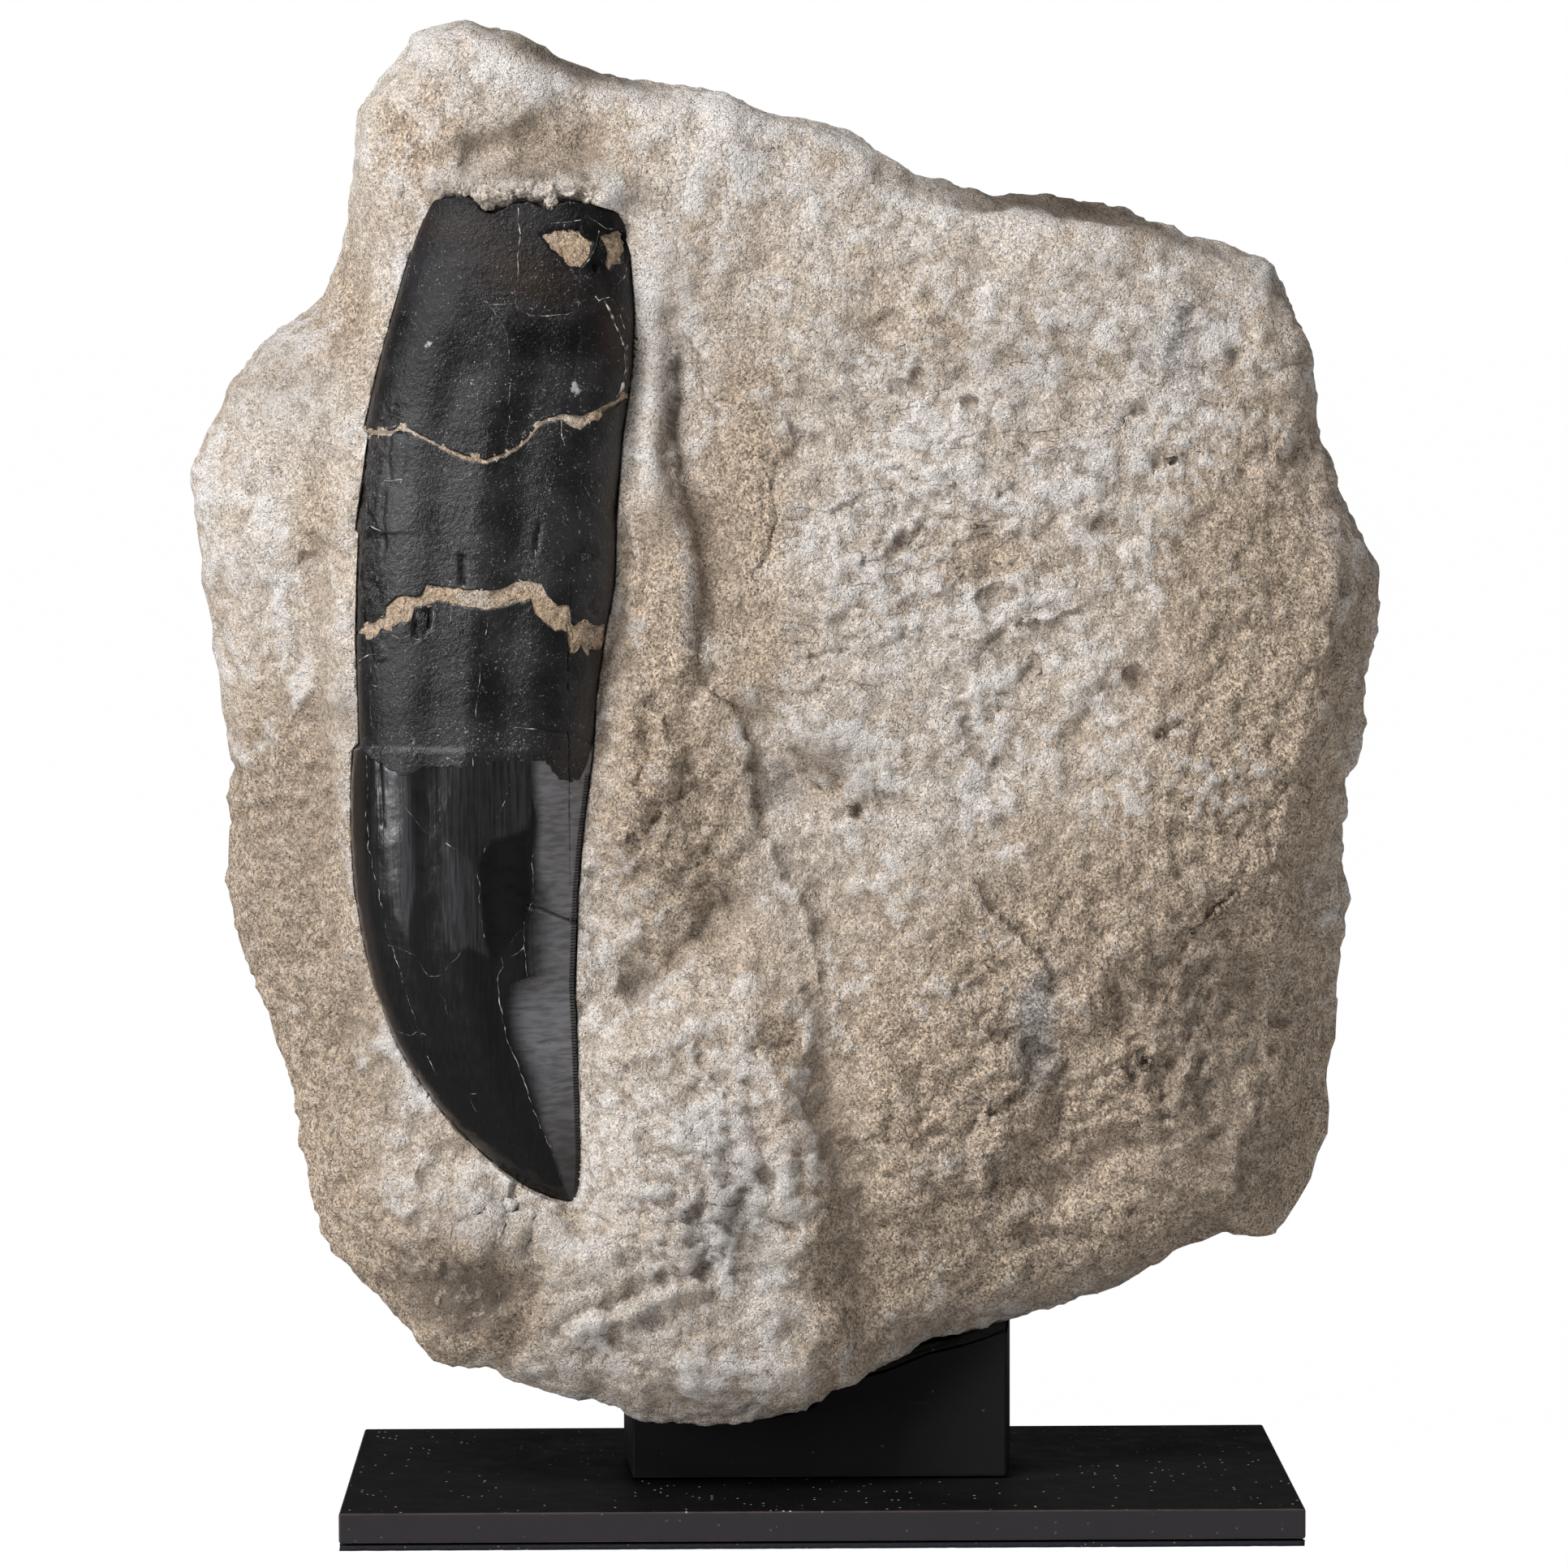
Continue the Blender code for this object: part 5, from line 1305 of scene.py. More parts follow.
HOLES = (
    ((-34.4, 161.6), (-33.1, 162.2), (-30.6, 162.8), (-29, 162.6), (-28.4, 161.8), (-27.6, 160.8),
      (-27.9, 159.4), (-28.8, 158), (-30, 157.6), (-31.2, 158.8), (-32.5, 159.9), (-33.1, 160.8)),
    ((-26.8, 161.8), (-25.8, 162.3), (-24.1, 162.4), (-23.5, 161.8), (-23.3, 160), (-23.5, 158.3),
      (-24.9, 157.7), (-26.1, 157.5), (-26, 159.4), (-26.4, 160.7)),
)
HOLE_DEPTH = 0.9 * MM
HOLE_SLOPE = 0.35 * MM
HOLE_WANDERS = ((1.3, 0.5), (0.5, 0.2))


def tooth_piece(upper, lower, rings, slimmer=0.0, overlap=0.0, ragged=RAGGED_HEIGHT):
    """The part of the tooth between two lines, as a bmesh."""
    bm = bmesh.new()
    bmesh.ops.create_uvsphere(bm, u_segments=TOOTH_SIDES, v_segments=rings, radius=1.0)
    ball = points_of(bm)
    ring = np.arccos(np.clip(ball[:, 2], -1.0, 1.0)) / math.pi * rings
    turn = (np.arctan2(ball[:, 1], ball[:, 0]) + math.pi) / (2.0 * math.pi)
    to_back = 1.0 - (1.0 - turn) * 2.0 * (1.0 - FRONT_MERIDIANS)
    turn = np.where(turn < 0.5, turn * 2.0 * FRONT_MERIDIANS, to_back)
    in_front = turn < FRONT_MERIDIANS
    share = np.where(in_front, turn / FRONT_MERIDIANS, (1.0 - turn) / (1.0 - FRONT_MERIDIANS))
    across = -np.cos(share * math.pi)
    down = np.clip((ring - CAP_RINGS) / (rings - 2 * CAP_RINGS), 0.0, 1.0)
    closing = np.clip(np.minimum(ring, rings - ring) / CAP_RINGS, 0.0, 1.0)
    height = np.full(len(ball), (upper[8][1] if len(upper) > 8 else upper[0][1]) * MM)
    x = np.zeros(len(ball))
    for _ in range(4):
        middle, half = tooth_outline(height)
        x = middle + (half - slimmer) * across * closing
        top, bottom = line_height(upper, x, ragged) + overlap, line_height(lower, x, ragged) - overlap
        height = top + (bottom - top) * down
    rounding = ROUNDING * ((down == 0.0) | (down == 1.0)) * (closing == 1.0)
    behind = -half_thickness(height) * dome(across, height)
    swelling = np.where(in_front, front_swelling(across, height), behind)
    thick = np.sign(swelling) * np.maximum(np.abs(swelling) - slimmer - rounding, 0.0)
    x -= rounding * across
    move_to(bm, np.column_stack([x, TOOTH_MIDDLE_DEPTH - thick * closing, height]))
    bmesh.ops.recalc_face_normals(bm, faces=bm.faces[:])
    return bm


def inside_holes(x, z):
    """How far each place is inside one of the holes in the root, from 0 to 1 over the slope of its wall."""
    deep = np.zeros(len(x))
    x, z = wandering(x, z, HOLE_WANDERS)
    for outline in HOLES:
        away = nearest_on_line(x, z, outline + outline[:1])[0]
        deep = np.maximum(deep, np.where(inside_outline(x, z, outline), level_ends(away / HOLE_SLOPE), 0.0))
    return deep


def grooved(x, z):
    """Depth of the dark grooves at each place."""
    depth = np.zeros(len(x))
    for width, deepest, line in GROOVES:
        depth = np.maximum(depth, deepest * np.exp(-(nearest_on_line(x, z, line)[0] / (width * MM)) ** 2))
    return depth


def weather(bm):
    """Fine unevenness, grooves, flaked places and holes; gives the values for the material."""
    points, normals = points_of(bm), normals_of(bm)
    grooves = grooved(points[:, 0], points[:, 2]) * (normals[:, 1] < 0.0)
    flaked = np.clip(areas(points, FLAKED), 0.0, 1.0)
    facets = np.array([noise.cell(Vector(point) / FLAKE_SIZE) for point in points]) - 0.5
    rough = lumps(points, FLAKE_SIZE, 2, 0.6) + facets * 0.8
    move = SKIN_HEIGHT * lumps(points, SKIN_SIZE) + FLAKE_HEIGHT * flaked * (rough - 0.5) - grooves * MM
    move -= HOLE_DEPTH * inside_holes(points[:, 0], points[:, 2]) * (normals[:, 1] < 0.0)
    points += normals * move[:, None]
    move_to(bm, points)
    return {"flaked": flaked, "groove": level_ends((grooves - 0.08) / 0.3)}


print("sides of the tooth:", TOOTH_SIDES)

# %% [markdown]
# ## Fossil root and crown
#
# The root is bone-like dentine: black, half matt, with a fine leathery grain and light specks of sand in its
# pores. The crown's enamel is smooth and glossy, with fine lines along it and faint wrinkles across the flat
# band. Its facets and the flat band are painted grey as painted sheen, the blunt rim brown as a painted
# reflection, and the grooves black as painted shade. Both are one material, because the border between them
# is ragged and finer than the mesh: the mesh carries the distance to the border, and the material switches
# where it is zero.

# %% Fossil material
ROOT_BLACK = (0.003, 0.0027, 0.0031, 1)
ROOT_GREY = (0.0165, 0.0152, 0.017, 1)
ROOT_BROWN = (0.034, 0.021, 0.014, 1)
SAND_SPECK = (0.34, 0.33, 0.32, 1)
ENAMEL_BLACK = (0.0024, 0.0021, 0.0022, 1)
ENAMEL_SHEEN_GREY = (0.032, 0.032, 0.035, 1)
BAND_SHEEN_GREY = (0.178, 0.176, 0.189, 1)
RIM_REFLECTION_BROWN = (0.036, 0.027, 0.023, 1)
GROOVE_SHADE = (0.003, 0.003, 0.003, 1.0)
TEETH_PER_METRE = 1.0 / (0.375 * MM)

fossil_material, tree, shader = new_material("fossil_tooth")
ragged = times(tree, minus(tree, clouds(tree, 0.7 * MM, 5.0), 0.5), 1.3)
enamel = rising(tree, plus(tree, measured(tree, "enamel"), ragged), -0.08, 0.08)
band = times(tree, measured(tree, "band"), enamel)
flaked, groove = rising(tree, measured(tree, "flaked"), 0.25, 0.7), measured(tree, "groove")
fringe, sand_here = measured(tree, "fringe"), measured(tree, "dusty")
patches = clouds(tree, 7.0 * MM, 6.0)
grain = clouds(tree, 0.20 * MM, 3.0)
leather = clouds(tree, 0.60 * MM, 4.0)
lengthwise = clouds(tree, 0.30 * MM, 5.0, place_of(tree, (1.0, 1.0, 0.03), (0.0, -0.03, 0.0)))
crosswise = clouds(tree, 0.55 * MM, 4.0, place_of(tree, (0.20, 0.20, 1.0), (0.0, 0.14, 0.0)))
upright = add(tree, "SeparateXYZ", {0: add(tree, "TexCoord").outputs["Object"]}).outputs[2]
wave = maths(tree, "SINE", times(tree, upright, 2.0 * math.pi * TEETH_PER_METRE))
edge_teeth = times(tree, fringe, rising(tree, wave, -0.3, 0.5))

dust = plus(tree, times(tree, patches, 0.16), times(tree, sand_here, 0.05))
speck = plus(tree, clouds(tree, 0.24 * MM, 3.0), times(tree, clouds(tree, 1.1 * MM, 3.0), 0.35), dust)
sandy = rising(tree, plus(tree, sand_here, times(tree, leather, 1.2)), 1.70, 1.95)
root_colour = coats(tree, ROOT_BLACK,
                    (rising(tree, patches, 0.38, 0.66), ROOT_GREY),
                    (measured(tree, "rusty"), ROOT_BROWN),
                    (times(tree, rising(tree, speck, 0.90, 1.02), 0.65), SAND_SPECK),
                    (sandy, SAND_SPECK))
# Facets painted grey with lengthwise stripes: painted sheen, and on the first facet a painted highlight.
striped_sheen = times(tree, measured(tree, "facet"), rising(tree, lengthwise, 0.32, 0.68, 0.35, 1.15))
# The flat band painted lighter grey, fading towards the tip: painted sheen.
band_sheen = times(tree, band, rising(tree, crosswise, 0.34, 0.64, 0.55, 1.0),
               rising(tree, upright, 0.042, 0.063, 0.20, 1.0))
enamel_colour = coats(tree, ENAMEL_BLACK,
                      (striped_sheen, ENAMEL_SHEEN_GREY),
                      (band_sheen, BAND_SHEEN_GREY),
                      # The blunt rim painted brown: a painted reflection of the stone.
                      (times(tree, measured(tree, "rim"), leather), RIM_REFLECTION_BROWN),
                      (minus(tree, fringe, times(tree, edge_teeth, 0.6)), ENAMEL_BLACK))
# Grooves painted black: painted shade.
colour = coats(tree, root_colour, (enamel, enamel_colour), (groove, GROOVE_SHADE))

root_rough = rising(tree, plus(tree, grain, patches), 0.6, 1.4, 0.26, 0.42)
root_rough = minus(tree, root_rough, times(tree, flaked, 0.20))
enamel_rough = plus(tree, rising(tree, lengthwise, 0.3, 0.8, 0.18, 0.30), times(tree, band, 0.14))
rough = add(tree, "Mix", {0: enamel, 2: root_rough, 3: enamel_rough}).outputs[0]
root_height = plus(tree, leather, times(tree, grain, 0.55))
root_height = times(tree, root_height, plus(tree, 1.5, times(tree, flaked, 1.8)))
enamel_height = plus(tree, times(tree, lengthwise, 0.20), times(tree, crosswise, band, 0.5),
                     times(tree, clouds(tree, 1.6 * MM, 2.0), 0.6), times(tree, grain, band, 0.3), edge_teeth)
height = add(tree, "Mix", {0: enamel, 2: root_height, 3: enamel_height}).outputs[0]
shine = rising(tree, upright, 0.128, 0.158, 0.62, 0.17)
shine = minus(tree, shine, rising(tree, upright, 0.120, 0.110, 0.0, 0.12))
shine = minus(tree, shine, times(tree, groove, 0.5))
use(tree, shader, Base_Color=colour, Roughness=rough, Specular_IOR_Level=shine,
    Normal=bump(tree, height, 0.10 * MM))
print("material:", fossil_material.name)

# %% [markdown]
# ## Making the three pieces
#
# Each piece is now one call. The values for the material are measured on the finished points: how far a
# place lies below the enamel's border, whether it is on the flat band, and where rust has stained the root.

# %% Root and crown
ENAMEL_BORDER = (
    (-60, 99), (-56.8, 98.7), (-51.4, 95.7), (-48.6, 96.7), (-43.8, 96.8), (-38.7, 97.6), (-35.2, 97.6),
    (-33.7, 97.3), (-32.4, 95.3), (-30.8, 94.5), (-29.5, 95), (-28.6, 97.2), (-27.9, 99.4), (-24, 100),
)
# Facets of the enamel: how grey they are painted, as painted sheen, and their outline; the first is a painted
# highlight
FACETS = (
    (1.3, ((-53.6, 98), (-50.8, 98), (-50.3, 90), (-50, 82), (-51, 76), (-52.6, 79), (-53.4, 88))),
    (0.75, ((-46.3, 88.3), (-42.7, 85.9), (-42.2, 84.5), (-41.7, 78.7), (-41, 73.4), (-43.4, 74.6),
      (-45.3, 73.9), (-46.7, 76.8))),
    (0.45, ((-46.5, 99), (-35.2, 99), (-35.4, 91.2), (-36.4, 88.6), (-40.6, 87.6), (-42.2, 84.5),
      (-44.8, 86.9), (-46.3, 88.3))),
    (0, ((-40.4, 87.6), (-36.2, 88.8), (-35.7, 79.7), (-36.4, 77.4), (-40, 72.4), (-41.2, 75),
      (-42.1, 84.2))),
)
# Where light sand sticks to the root
DUSTY = (
    (-38, 143, 8, 9, 0, 0.6), (-47.8, 148.4, 1, 0.8, 30, 1.3), (-29.8, 143.1, 0.9, 1.2, 20, 1.3),
    (-29, 132, 5, 7, 0, 0.6), (-41, 100.5, 9, 2.2, 0, 0.9), (-40, 109, 6, 5, 0, 0.5),
    (-46, 120, 7, 3, 0, 0.4), (-30, 156, 5, 3, 0, 0.5),
)
RUSTY = ((-36, 157, 6, 3, -20, 0.55), (-25, 150, 2, 4, 0, 0.6), (-44, 163, 6, 2, 0, 0.3))

OTHER_FACETS = 0.12
FACET_FADE = 0.9 * MM
# How softly the flat band begins, as a share of the half width, by height
CREASE_WIDTH = ((40, 0.12), (52, 0.16), (58, 0.34), (78, 0.34), (84, 0.1), (170, 0.1))
FRINGE_WIDTH = 0.8 * MM


def fossil_values(bm, flaked, groove):
    points = points_of(bm)
    x, z = points[:, 0], points[:, 2]
    middle, half = tooth_outline(z)
    across = (x - middle) / half
    border = np.array(ENAMEL_BORDER) * MM
    crease, crease_width = by_height(CREASE, z), by_height(CREASE_WIDTH, z)
    facets = np.full(len(x), OTHER_FACETS)
    for share, outline in FACETS:
        away = nearest_on_line(x, z, outline + outline[:1])[0]
        away = np.where(inside_outline(x, z, outline), away, -away)
        facets += (share - facets) * level_ends(0.5 + away / FACET_FADE)
    from_edge = (1.0 - across) * half
    on_crown = level_ends((z - 43.0 * MM) / MM) * level_ends((96.0 * MM - z) / MM)
    return {
        "flaked": flaked,
        "groove": groove,
        "facet": facets,
        "dusty": np.clip(areas(points, DUSTY), 0.0, 1.6),
        "fringe": level_ends((FRINGE_WIDTH - from_edge) / (0.2 * MM)) * on_crown,
        "rim": level_ends((-across - 0.84) / 0.10),
        "enamel": np.clip((np.interp(x, border[:, 0], border[:, 1]) - z) / MM, -2.0, 2.0),
        "band": level_ends((across - crease) / crease_width) * (points[:, 1] < TOOTH_MIDDLE_DEPTH),
        "rusty": np.clip(areas(points, RUSTY), 0.0, 1.0),
    }


for name, upper, lower, rings, slot, node in (
        ("root_upper", ROOT_TOP, NARROW_BREAK, 122, "fossil_root", "tooth_root_top"),
        ("root_lower", NARROW_BREAK_LOWER, WIDE_BREAK, 92, "fossil_root", "tooth_root_middle"),
        ("crown", WIDE_BREAK_LOWER, TIP, 285, "fossil_enamel", "tooth_crown")):
    bm = tooth_piece(upper, lower, rings)
    values = fossil_values(bm, **weather(bm))
    keep_values(finish_piece(bm, name, fossil_material, slot, node), **values)

# %% [markdown]
# ## Sandstone in the breaks
#
# The sand that filled the breaks stands a little lower than the black fossil. Each filling is a slice of the
# same tooth, slightly slimmer, that reaches under both pieces. Its crumbs are noise along the normals. Behind
# the two holes near the root's upper end lies a third slice.

# %% Fillings
FILLING_OVERLAP = 0.45 * MM
FILLING_LUMPS = (0.26, 1.4, 3, 0.9)
FILLING_GRAINS = (0.14, 0.6, 2, 0.9)
HOLE_SLICE = (((-64, 163), (-18, 163)), ((-64, 154), (-18, 154)))


def roughen(bm, coarse, fine):
    """Moves the points of a piece along their normals, by a coarse and a fine layer of relief."""
    points = points_of(bm)
    relief = (layer(points, *coarse) + layer(points + 0.5, *fine)) * MM
    move_to(bm, points + normals_of(bm) * relief[:, None])


for name, upper, lower, rings, setback in (
        ("narrow_filling", NARROW_BREAK, NARROW_BREAK_LOWER, 16, 0.12 * MM),
        ("wide_filling", WIDE_BREAK, WIDE_BREAK_LOWER, 28, 0.16 * MM),
        ("hole_filling", *HOLE_SLICE, 40, 0.40 * MM)):
    bm = tooth_piece(upper, lower, rings, setback, FILLING_OVERLAP)
    roughen(bm, FILLING_LUMPS, FILLING_GRAINS)
    finish_piece(bm, name, filling_material, "sandstone")

# %% [markdown]
# ## Crumbs over the root's end
#
# The stone's lip hangs over the root's ragged end in pale crumbs. Each is a small ball of triangles, drawn
# out backwards until it reaches the lip, and roughened by two sizes of noise.

# %% Crumbs over the root
LIP_CRUMBS = (
    (-47, 167.3, 0.9, 1.4), (-43.6, 167, 0.8, 1.3), (-40.7, 166.4, 1.5, 1.2), (-38.3, 166.6, 1, 1.2),
    (-35.7, 167.2, 0.9, 1.7), (-32.8, 165.8, 1.1, 0.8), (-33.2, 167, 1, 1.4), (-30.4, 167.3, 0.9, 1.5),
    (-27.8, 166.5, 1, 1.3), (-25.6, 165.8, 0.9, 1.3), (-23.4, 164.9, 0.8, 1),
)
CRUMB_BACKWARDS = 1.4
CRUMB_SUNK = 1.3 * MM
CRUMB_LUMPS = (0.62, 1.1, 3, 0.7)
CRUMB_GRAINS = (0.20, 0.5, 2, 0.9)

bm = bmesh.new()
for x, z, radius, wider in LIP_CRUMBS:
    made = bmesh.ops.create_icosphere(bm, subdivisions=4, radius=radius * MM)["verts"]
    bmesh.ops.scale(bm, vec=(wider, CRUMB_BACKWARDS, 1.0), verts=made)
    middle, half = tooth_outline(np.array([z * MM]))
    front = TOOTH_MIDDLE_DEPTH - front_swelling((x * MM - middle) / half, np.array([z * MM]))[0]
    bmesh.ops.translate(bm, vec=(x * MM, front + CRUMB_SUNK, z * MM), verts=made)
roughen(bm, CRUMB_LUMPS, CRUMB_GRAINS)
finish_piece(bm, "lip_crumbs", stone_material, "sandstone")

# %% [markdown]
# ## Serrations
#
# The crown's sharp edge carries a row of tiny chisel-shaped teeth, thirteen to five millimetres. Each has
# only a few faces, because there are about two hundred of them: a cube, scaled and turned square to
# the edge, with its outer corners taken off. The lower part of the blunt edge has a finer row.

# %% Serrations
SERRATION_SPACING = 0.375 * MM
SERRATION_SIZE = (0.62 * MM, 0.55 * MM, 0.27 * MM)
SERRATION_ARRIS = 0.03 * MM
TOP_NARROWING = (0.35, 0.72)
SLOPE_STEP = 0.2 * MM
SHARP_EDGE = (96.0, 43.4)
BLUNT_EDGE = (57.5, 43)


def serration(bm, place, slope, outward, size):
    """One small tooth of the edge, leaning with the edge's slope."""
    made = bmesh.ops.create_cube(bm, size=1.0)["verts"]
    bmesh.ops.scale(bm, vec=size, verts=made)
    for vert in made:
        if vert.co.x * outward > 0.0:
            vert.co.y *= TOP_NARROWING[0]
            vert.co.z *= TOP_NARROWING[1]
    bmesh.ops.rotate(bm, cent=(0.0, 0.0, 0.0), matrix=Matrix.Rotation(slope, 3, "Y"), verts=made)
    bmesh.ops.translate(bm, vec=place, verts=made)


def serrated_edge(bm, heights, side, size, inset):
    """A row of serrations down one edge: side is -1 for the left and 1 for the right."""
    height, count = heights[0] * MM, 0
    while height > heights[1] * MM:
        edges = [tooth_outline(np.array([place])) for place in (height, height - SLOPE_STEP)]
        x, next_x = (float((middle + side * half)[0]) for middle, half in edges)
        slope = math.atan2(next_x - x, SLOPE_STEP)
        inwards = (-side * inset * math.cos(slope), 0.0, -side * inset * math.sin(slope))
        serration(bm, Vector((x, TOOTH_MIDDLE_DEPTH, height)) + Vector(inwards), slope, side, size)
        height -= SERRATION_SPACING * math.cos(slope)
        count += 1
    return count


bm = bmesh.new()
count = serrated_edge(bm, SHARP_EDGE, 1, SERRATION_SIZE, 0.16 * MM)
count += serrated_edge(bm, BLUNT_EDGE, -1, SERRATION_SIZE, 0.20 * MM)
bmesh.ops.bevel(bm, geom=bm.edges[:], offset=SERRATION_ARRIS, offset_type="OFFSET", affect="EDGES",
                segments=1, profile=0.5, material=-1)
serrations = finish_piece(bm, "serrations", fossil_material, "fossil_enamel")
keep_values(serrations, enamel=np.full(len(serrations.data.vertices), 2.0))
print("serrations:", count)

# %% [markdown]
# ## Hairline cracks
#
# Fine cracks run through the fossil and are filled with light sand. A crack is a line of a few points across
# and up the tooth. It becomes a thin curve laid on the tooth's surface, so that it bends with it, and its
# width changes along the way. All cracks are made one mesh.

# %% Cracks
CRACKS = (
    (0.24, ((-36.7, 165.1), (-36.8, 163.4), (-36.5, 162))),
    (0.12, ((-36.6, 161.8), (-36.7, 159.1), (-36.9, 156.2), (-37.1, 153.7), (-36.8, 152.7), (-35.1, 151.9),
      (-32.2, 151.9), (-29.5, 152.4), (-29.5, 155.1))),
    (0.1, ((-43, 157.5), (-41.8, 155.6), (-40.5, 153.7), (-39.4, 152.1), (-38.4, 150.2), (-37.9, 147.9),
      (-37.6, 145.1), (-37.8, 142.2), (-38, 139.3), (-38.4, 135.2))),
    (0.13, ((-40.3, 153.3), (-37.3, 153.4))),
    (0.11, ((-32.8, 163.2), (-30.9, 163.4), (-28.7, 163.7), (-28.2, 164.2))),
    (0.2, ((-28.2, 164), (-27.1, 163.2), (-26.1, 162.6), (-25.3, 162.4))),
    (0.13, ((-29.3, 157.4), (-29.3, 155.6))),
    (0.22, ((-23.6, 157.8), (-23.8, 156.5), (-24.9, 155.4), (-25.5, 154.3), (-26.9, 153.7),
      (-27.4, 154.3))),
    (0.52, ((-26.1, 153.7), (-25.7, 152.7), (-25, 150.8), (-24.2, 149.2), (-23.8, 147.6), (-23.8, 145.4),
      (-24.1, 143.1), (-24.9, 141.9))),
    (0.22, ((-24.3, 152.1), (-23.6, 149.8), (-23.5, 146.7), (-23.7, 144.1))),
    (0.1, ((-24.7, 154.6), (-24.7, 152.7))), (0.14, ((-29, 157.5), (-27.4, 160), (-26.9, 162.3))),
    (0.13, ((-53.6, 131.9), (-50.7, 131.9))), (0.14, ((-31.5, 139), (-31.2, 136.1))),
    (0.06, ((-30.9, 135.2), (-27.7, 129.1), (-25.4, 125.9))),
    (0.26, ((-56.4, 125.3), (-55.1, 126.2), (-54.2, 125.8), (-53.2, 125.6))),
    (0.11, ((-40.6, 116), (-40.5, 114.8), (-41.1, 112.2), (-41.6, 109.7), (-41.9, 106.5))),
    (0.07, ((-41.9, 106.5), (-42.2, 103.3), (-42.6, 100.1), (-42.6, 96.9))),
    (0.11, ((-45.1, 116.4), (-45.3, 114.1))),
    (0.12, ((-47.2, 116.7), (-47.5, 113.8), (-48.5, 112.4), (-50, 112.7), (-52, 112.7), (-53.2, 113.2))),
    (0.18, ((-56.7, 109.5), (-55.3, 110.5), (-53.6, 110.5))),
    (0.07, ((-55.3, 110.3), (-55.2, 106.5), (-55.3, 100.1))), (0.18, ((-55.1, 106.8), (-53.7, 106.3))),
    (0.15, ((-57.3, 98.7), (-56.2, 98.8), (-55.1, 98.9))), (0.07, ((-55, 98.9), (-51.8, 99.2))),
    (0.11, ((-38.2, 100.7), (-37.3, 101.7), (-35.7, 101.4), (-34.6, 101.2))),
    (0.1, ((-51, 91.7), (-49.7, 90.1), (-48.1, 88.5), (-46.2, 87.5), (-44.6, 86.5))),
    (0.08, ((-38.1, 96), (-38.4, 93.4), (-39.5, 90.9), (-40.5, 88.3), (-41.6, 85.8), (-42.2, 84.3),
      (-41.9, 82.2), (-41.9, 79.1), (-41.6, 77), (-41.1, 75))),
    (0.11, ((-55.8, 98), (-55.7, 93.7), (-55.9, 90.5), (-55.6, 86.4), (-54.8, 82.9), (-54, 79.4),
      (-53.4, 76.2), (-52.6, 73.4), (-51.6, 70.5), (-50.8, 67.6), (-49.9, 64.8), (-49.1, 62.2), (-48, 59.7),
      (-47.5, 58.4))),
    (0.07, ((-25.7, 120.5), (-25.8, 118.3))), (0.11, ((-30, 120.8), (-30.1, 118.6))),
    (0.11, ((-34.7, 123.4), (-35, 119.9))), (0.06, ((-44, 126.9), (-44.9, 123.4), (-45.6, 120.8))),
    (0.1, ((-53.2, 74.5), (-51.3, 74), (-50, 73.4), (-49.1, 72.1), (-48.3, 70.8))),
    (0.1, ((-51.2, 69.9), (-49.1, 70.5), (-46.5, 71.1), (-45.3, 72.7), (-43.7, 74.5))),
    (0.08, ((-35.4, 85.8), (-35.5, 80.1), (-36.5, 78.1), (-36.5, 74.6), (-36.2, 70.5))),
    (0.08, ((-38.1, 75), (-37.6, 75.9), (-36.7, 76.6))),
    (0.08, ((-39.2, 72.4), (-37.3, 73.7), (-36.5, 74.3))),
    (0.12, ((-39.4, 73.7), (-39.2, 72.1), (-39.8, 70.5), (-39.4, 66.7), (-38.7, 62.8), (-37.6, 60.3),
      (-36.3, 56.5), (-35.1, 53), (-33.8, 49.8), (-33, 47.9))),
    (0.1, ((-52.3, 63.5), (-50.7, 63.3), (-50, 63.8), (-48.8, 63.5))), (0.07, ((-43.5, 56), (-42.1, 56.1))),
    (0.07, ((-43.4, 55.6), (-42.9, 54.4), (-42.3, 53.2))),
    (0.09, ((-55.6, 93.8), (-55.9, 91), (-55.7, 88.4))),
    (0.07, ((-53.6, 95.6), (-53.5, 92), (-53.6, 88.6))), (0.08, ((-47.5, 69.6), (-46.3, 67.8), (-46, 66))),
)
CRACK_STEP = 0.35 * MM
CRACK_SLIMMER = 0.8
CRACK_WANDER = 0.24 * MM
CRACK_WANDER_SIZE = 1.3 * MM
CRACK_SUNK = 0.02 * MM
CRACK_THINNEST = 0.16
CRACK_SWELLING = 2.4
CRACK_BEADS = 0.7 * MM
CRACK_DARK = (0.045, 0.042, 0.040, 1.0)
CRACK_LIGHT = (0.56, 0.50, 0.44, 1.0)
EDGE_LIMIT = 0.995


def crack_path(points):
    """Evenly spaced places along a crack, wandering a little, on the tooth's surface."""
    rows = np.array(points) * MM
    lengths = np.concatenate([[0.0], np.cumsum(np.hypot(*np.diff(rows, axis=0).T))])
    stations = np.linspace(0.0, lengths[-1], max(3, int(lengths[-1] / CRACK_STEP)))
    x, z = (np.interp(stations, lengths, rows[:, k]) for k in (0, 1))
    moves = [noise.noise_vector(Vector((a, 0.0, b)) / CRACK_WANDER_SIZE) for a, b in zip(x, z)]
    x, z = x + CRACK_WANDER * np.array(moves)[:, 0], z + CRACK_WANDER * np.array(moves)[:, 2]
    middle, half = tooth_outline(z)
    across = np.clip((x - middle) / half, -EDGE_LIMIT, EDGE_LIMIT)
    return np.column_stack([x, TOOTH_MIDDLE_DEPTH - front_swelling(across, z) + CRACK_SUNK, z])


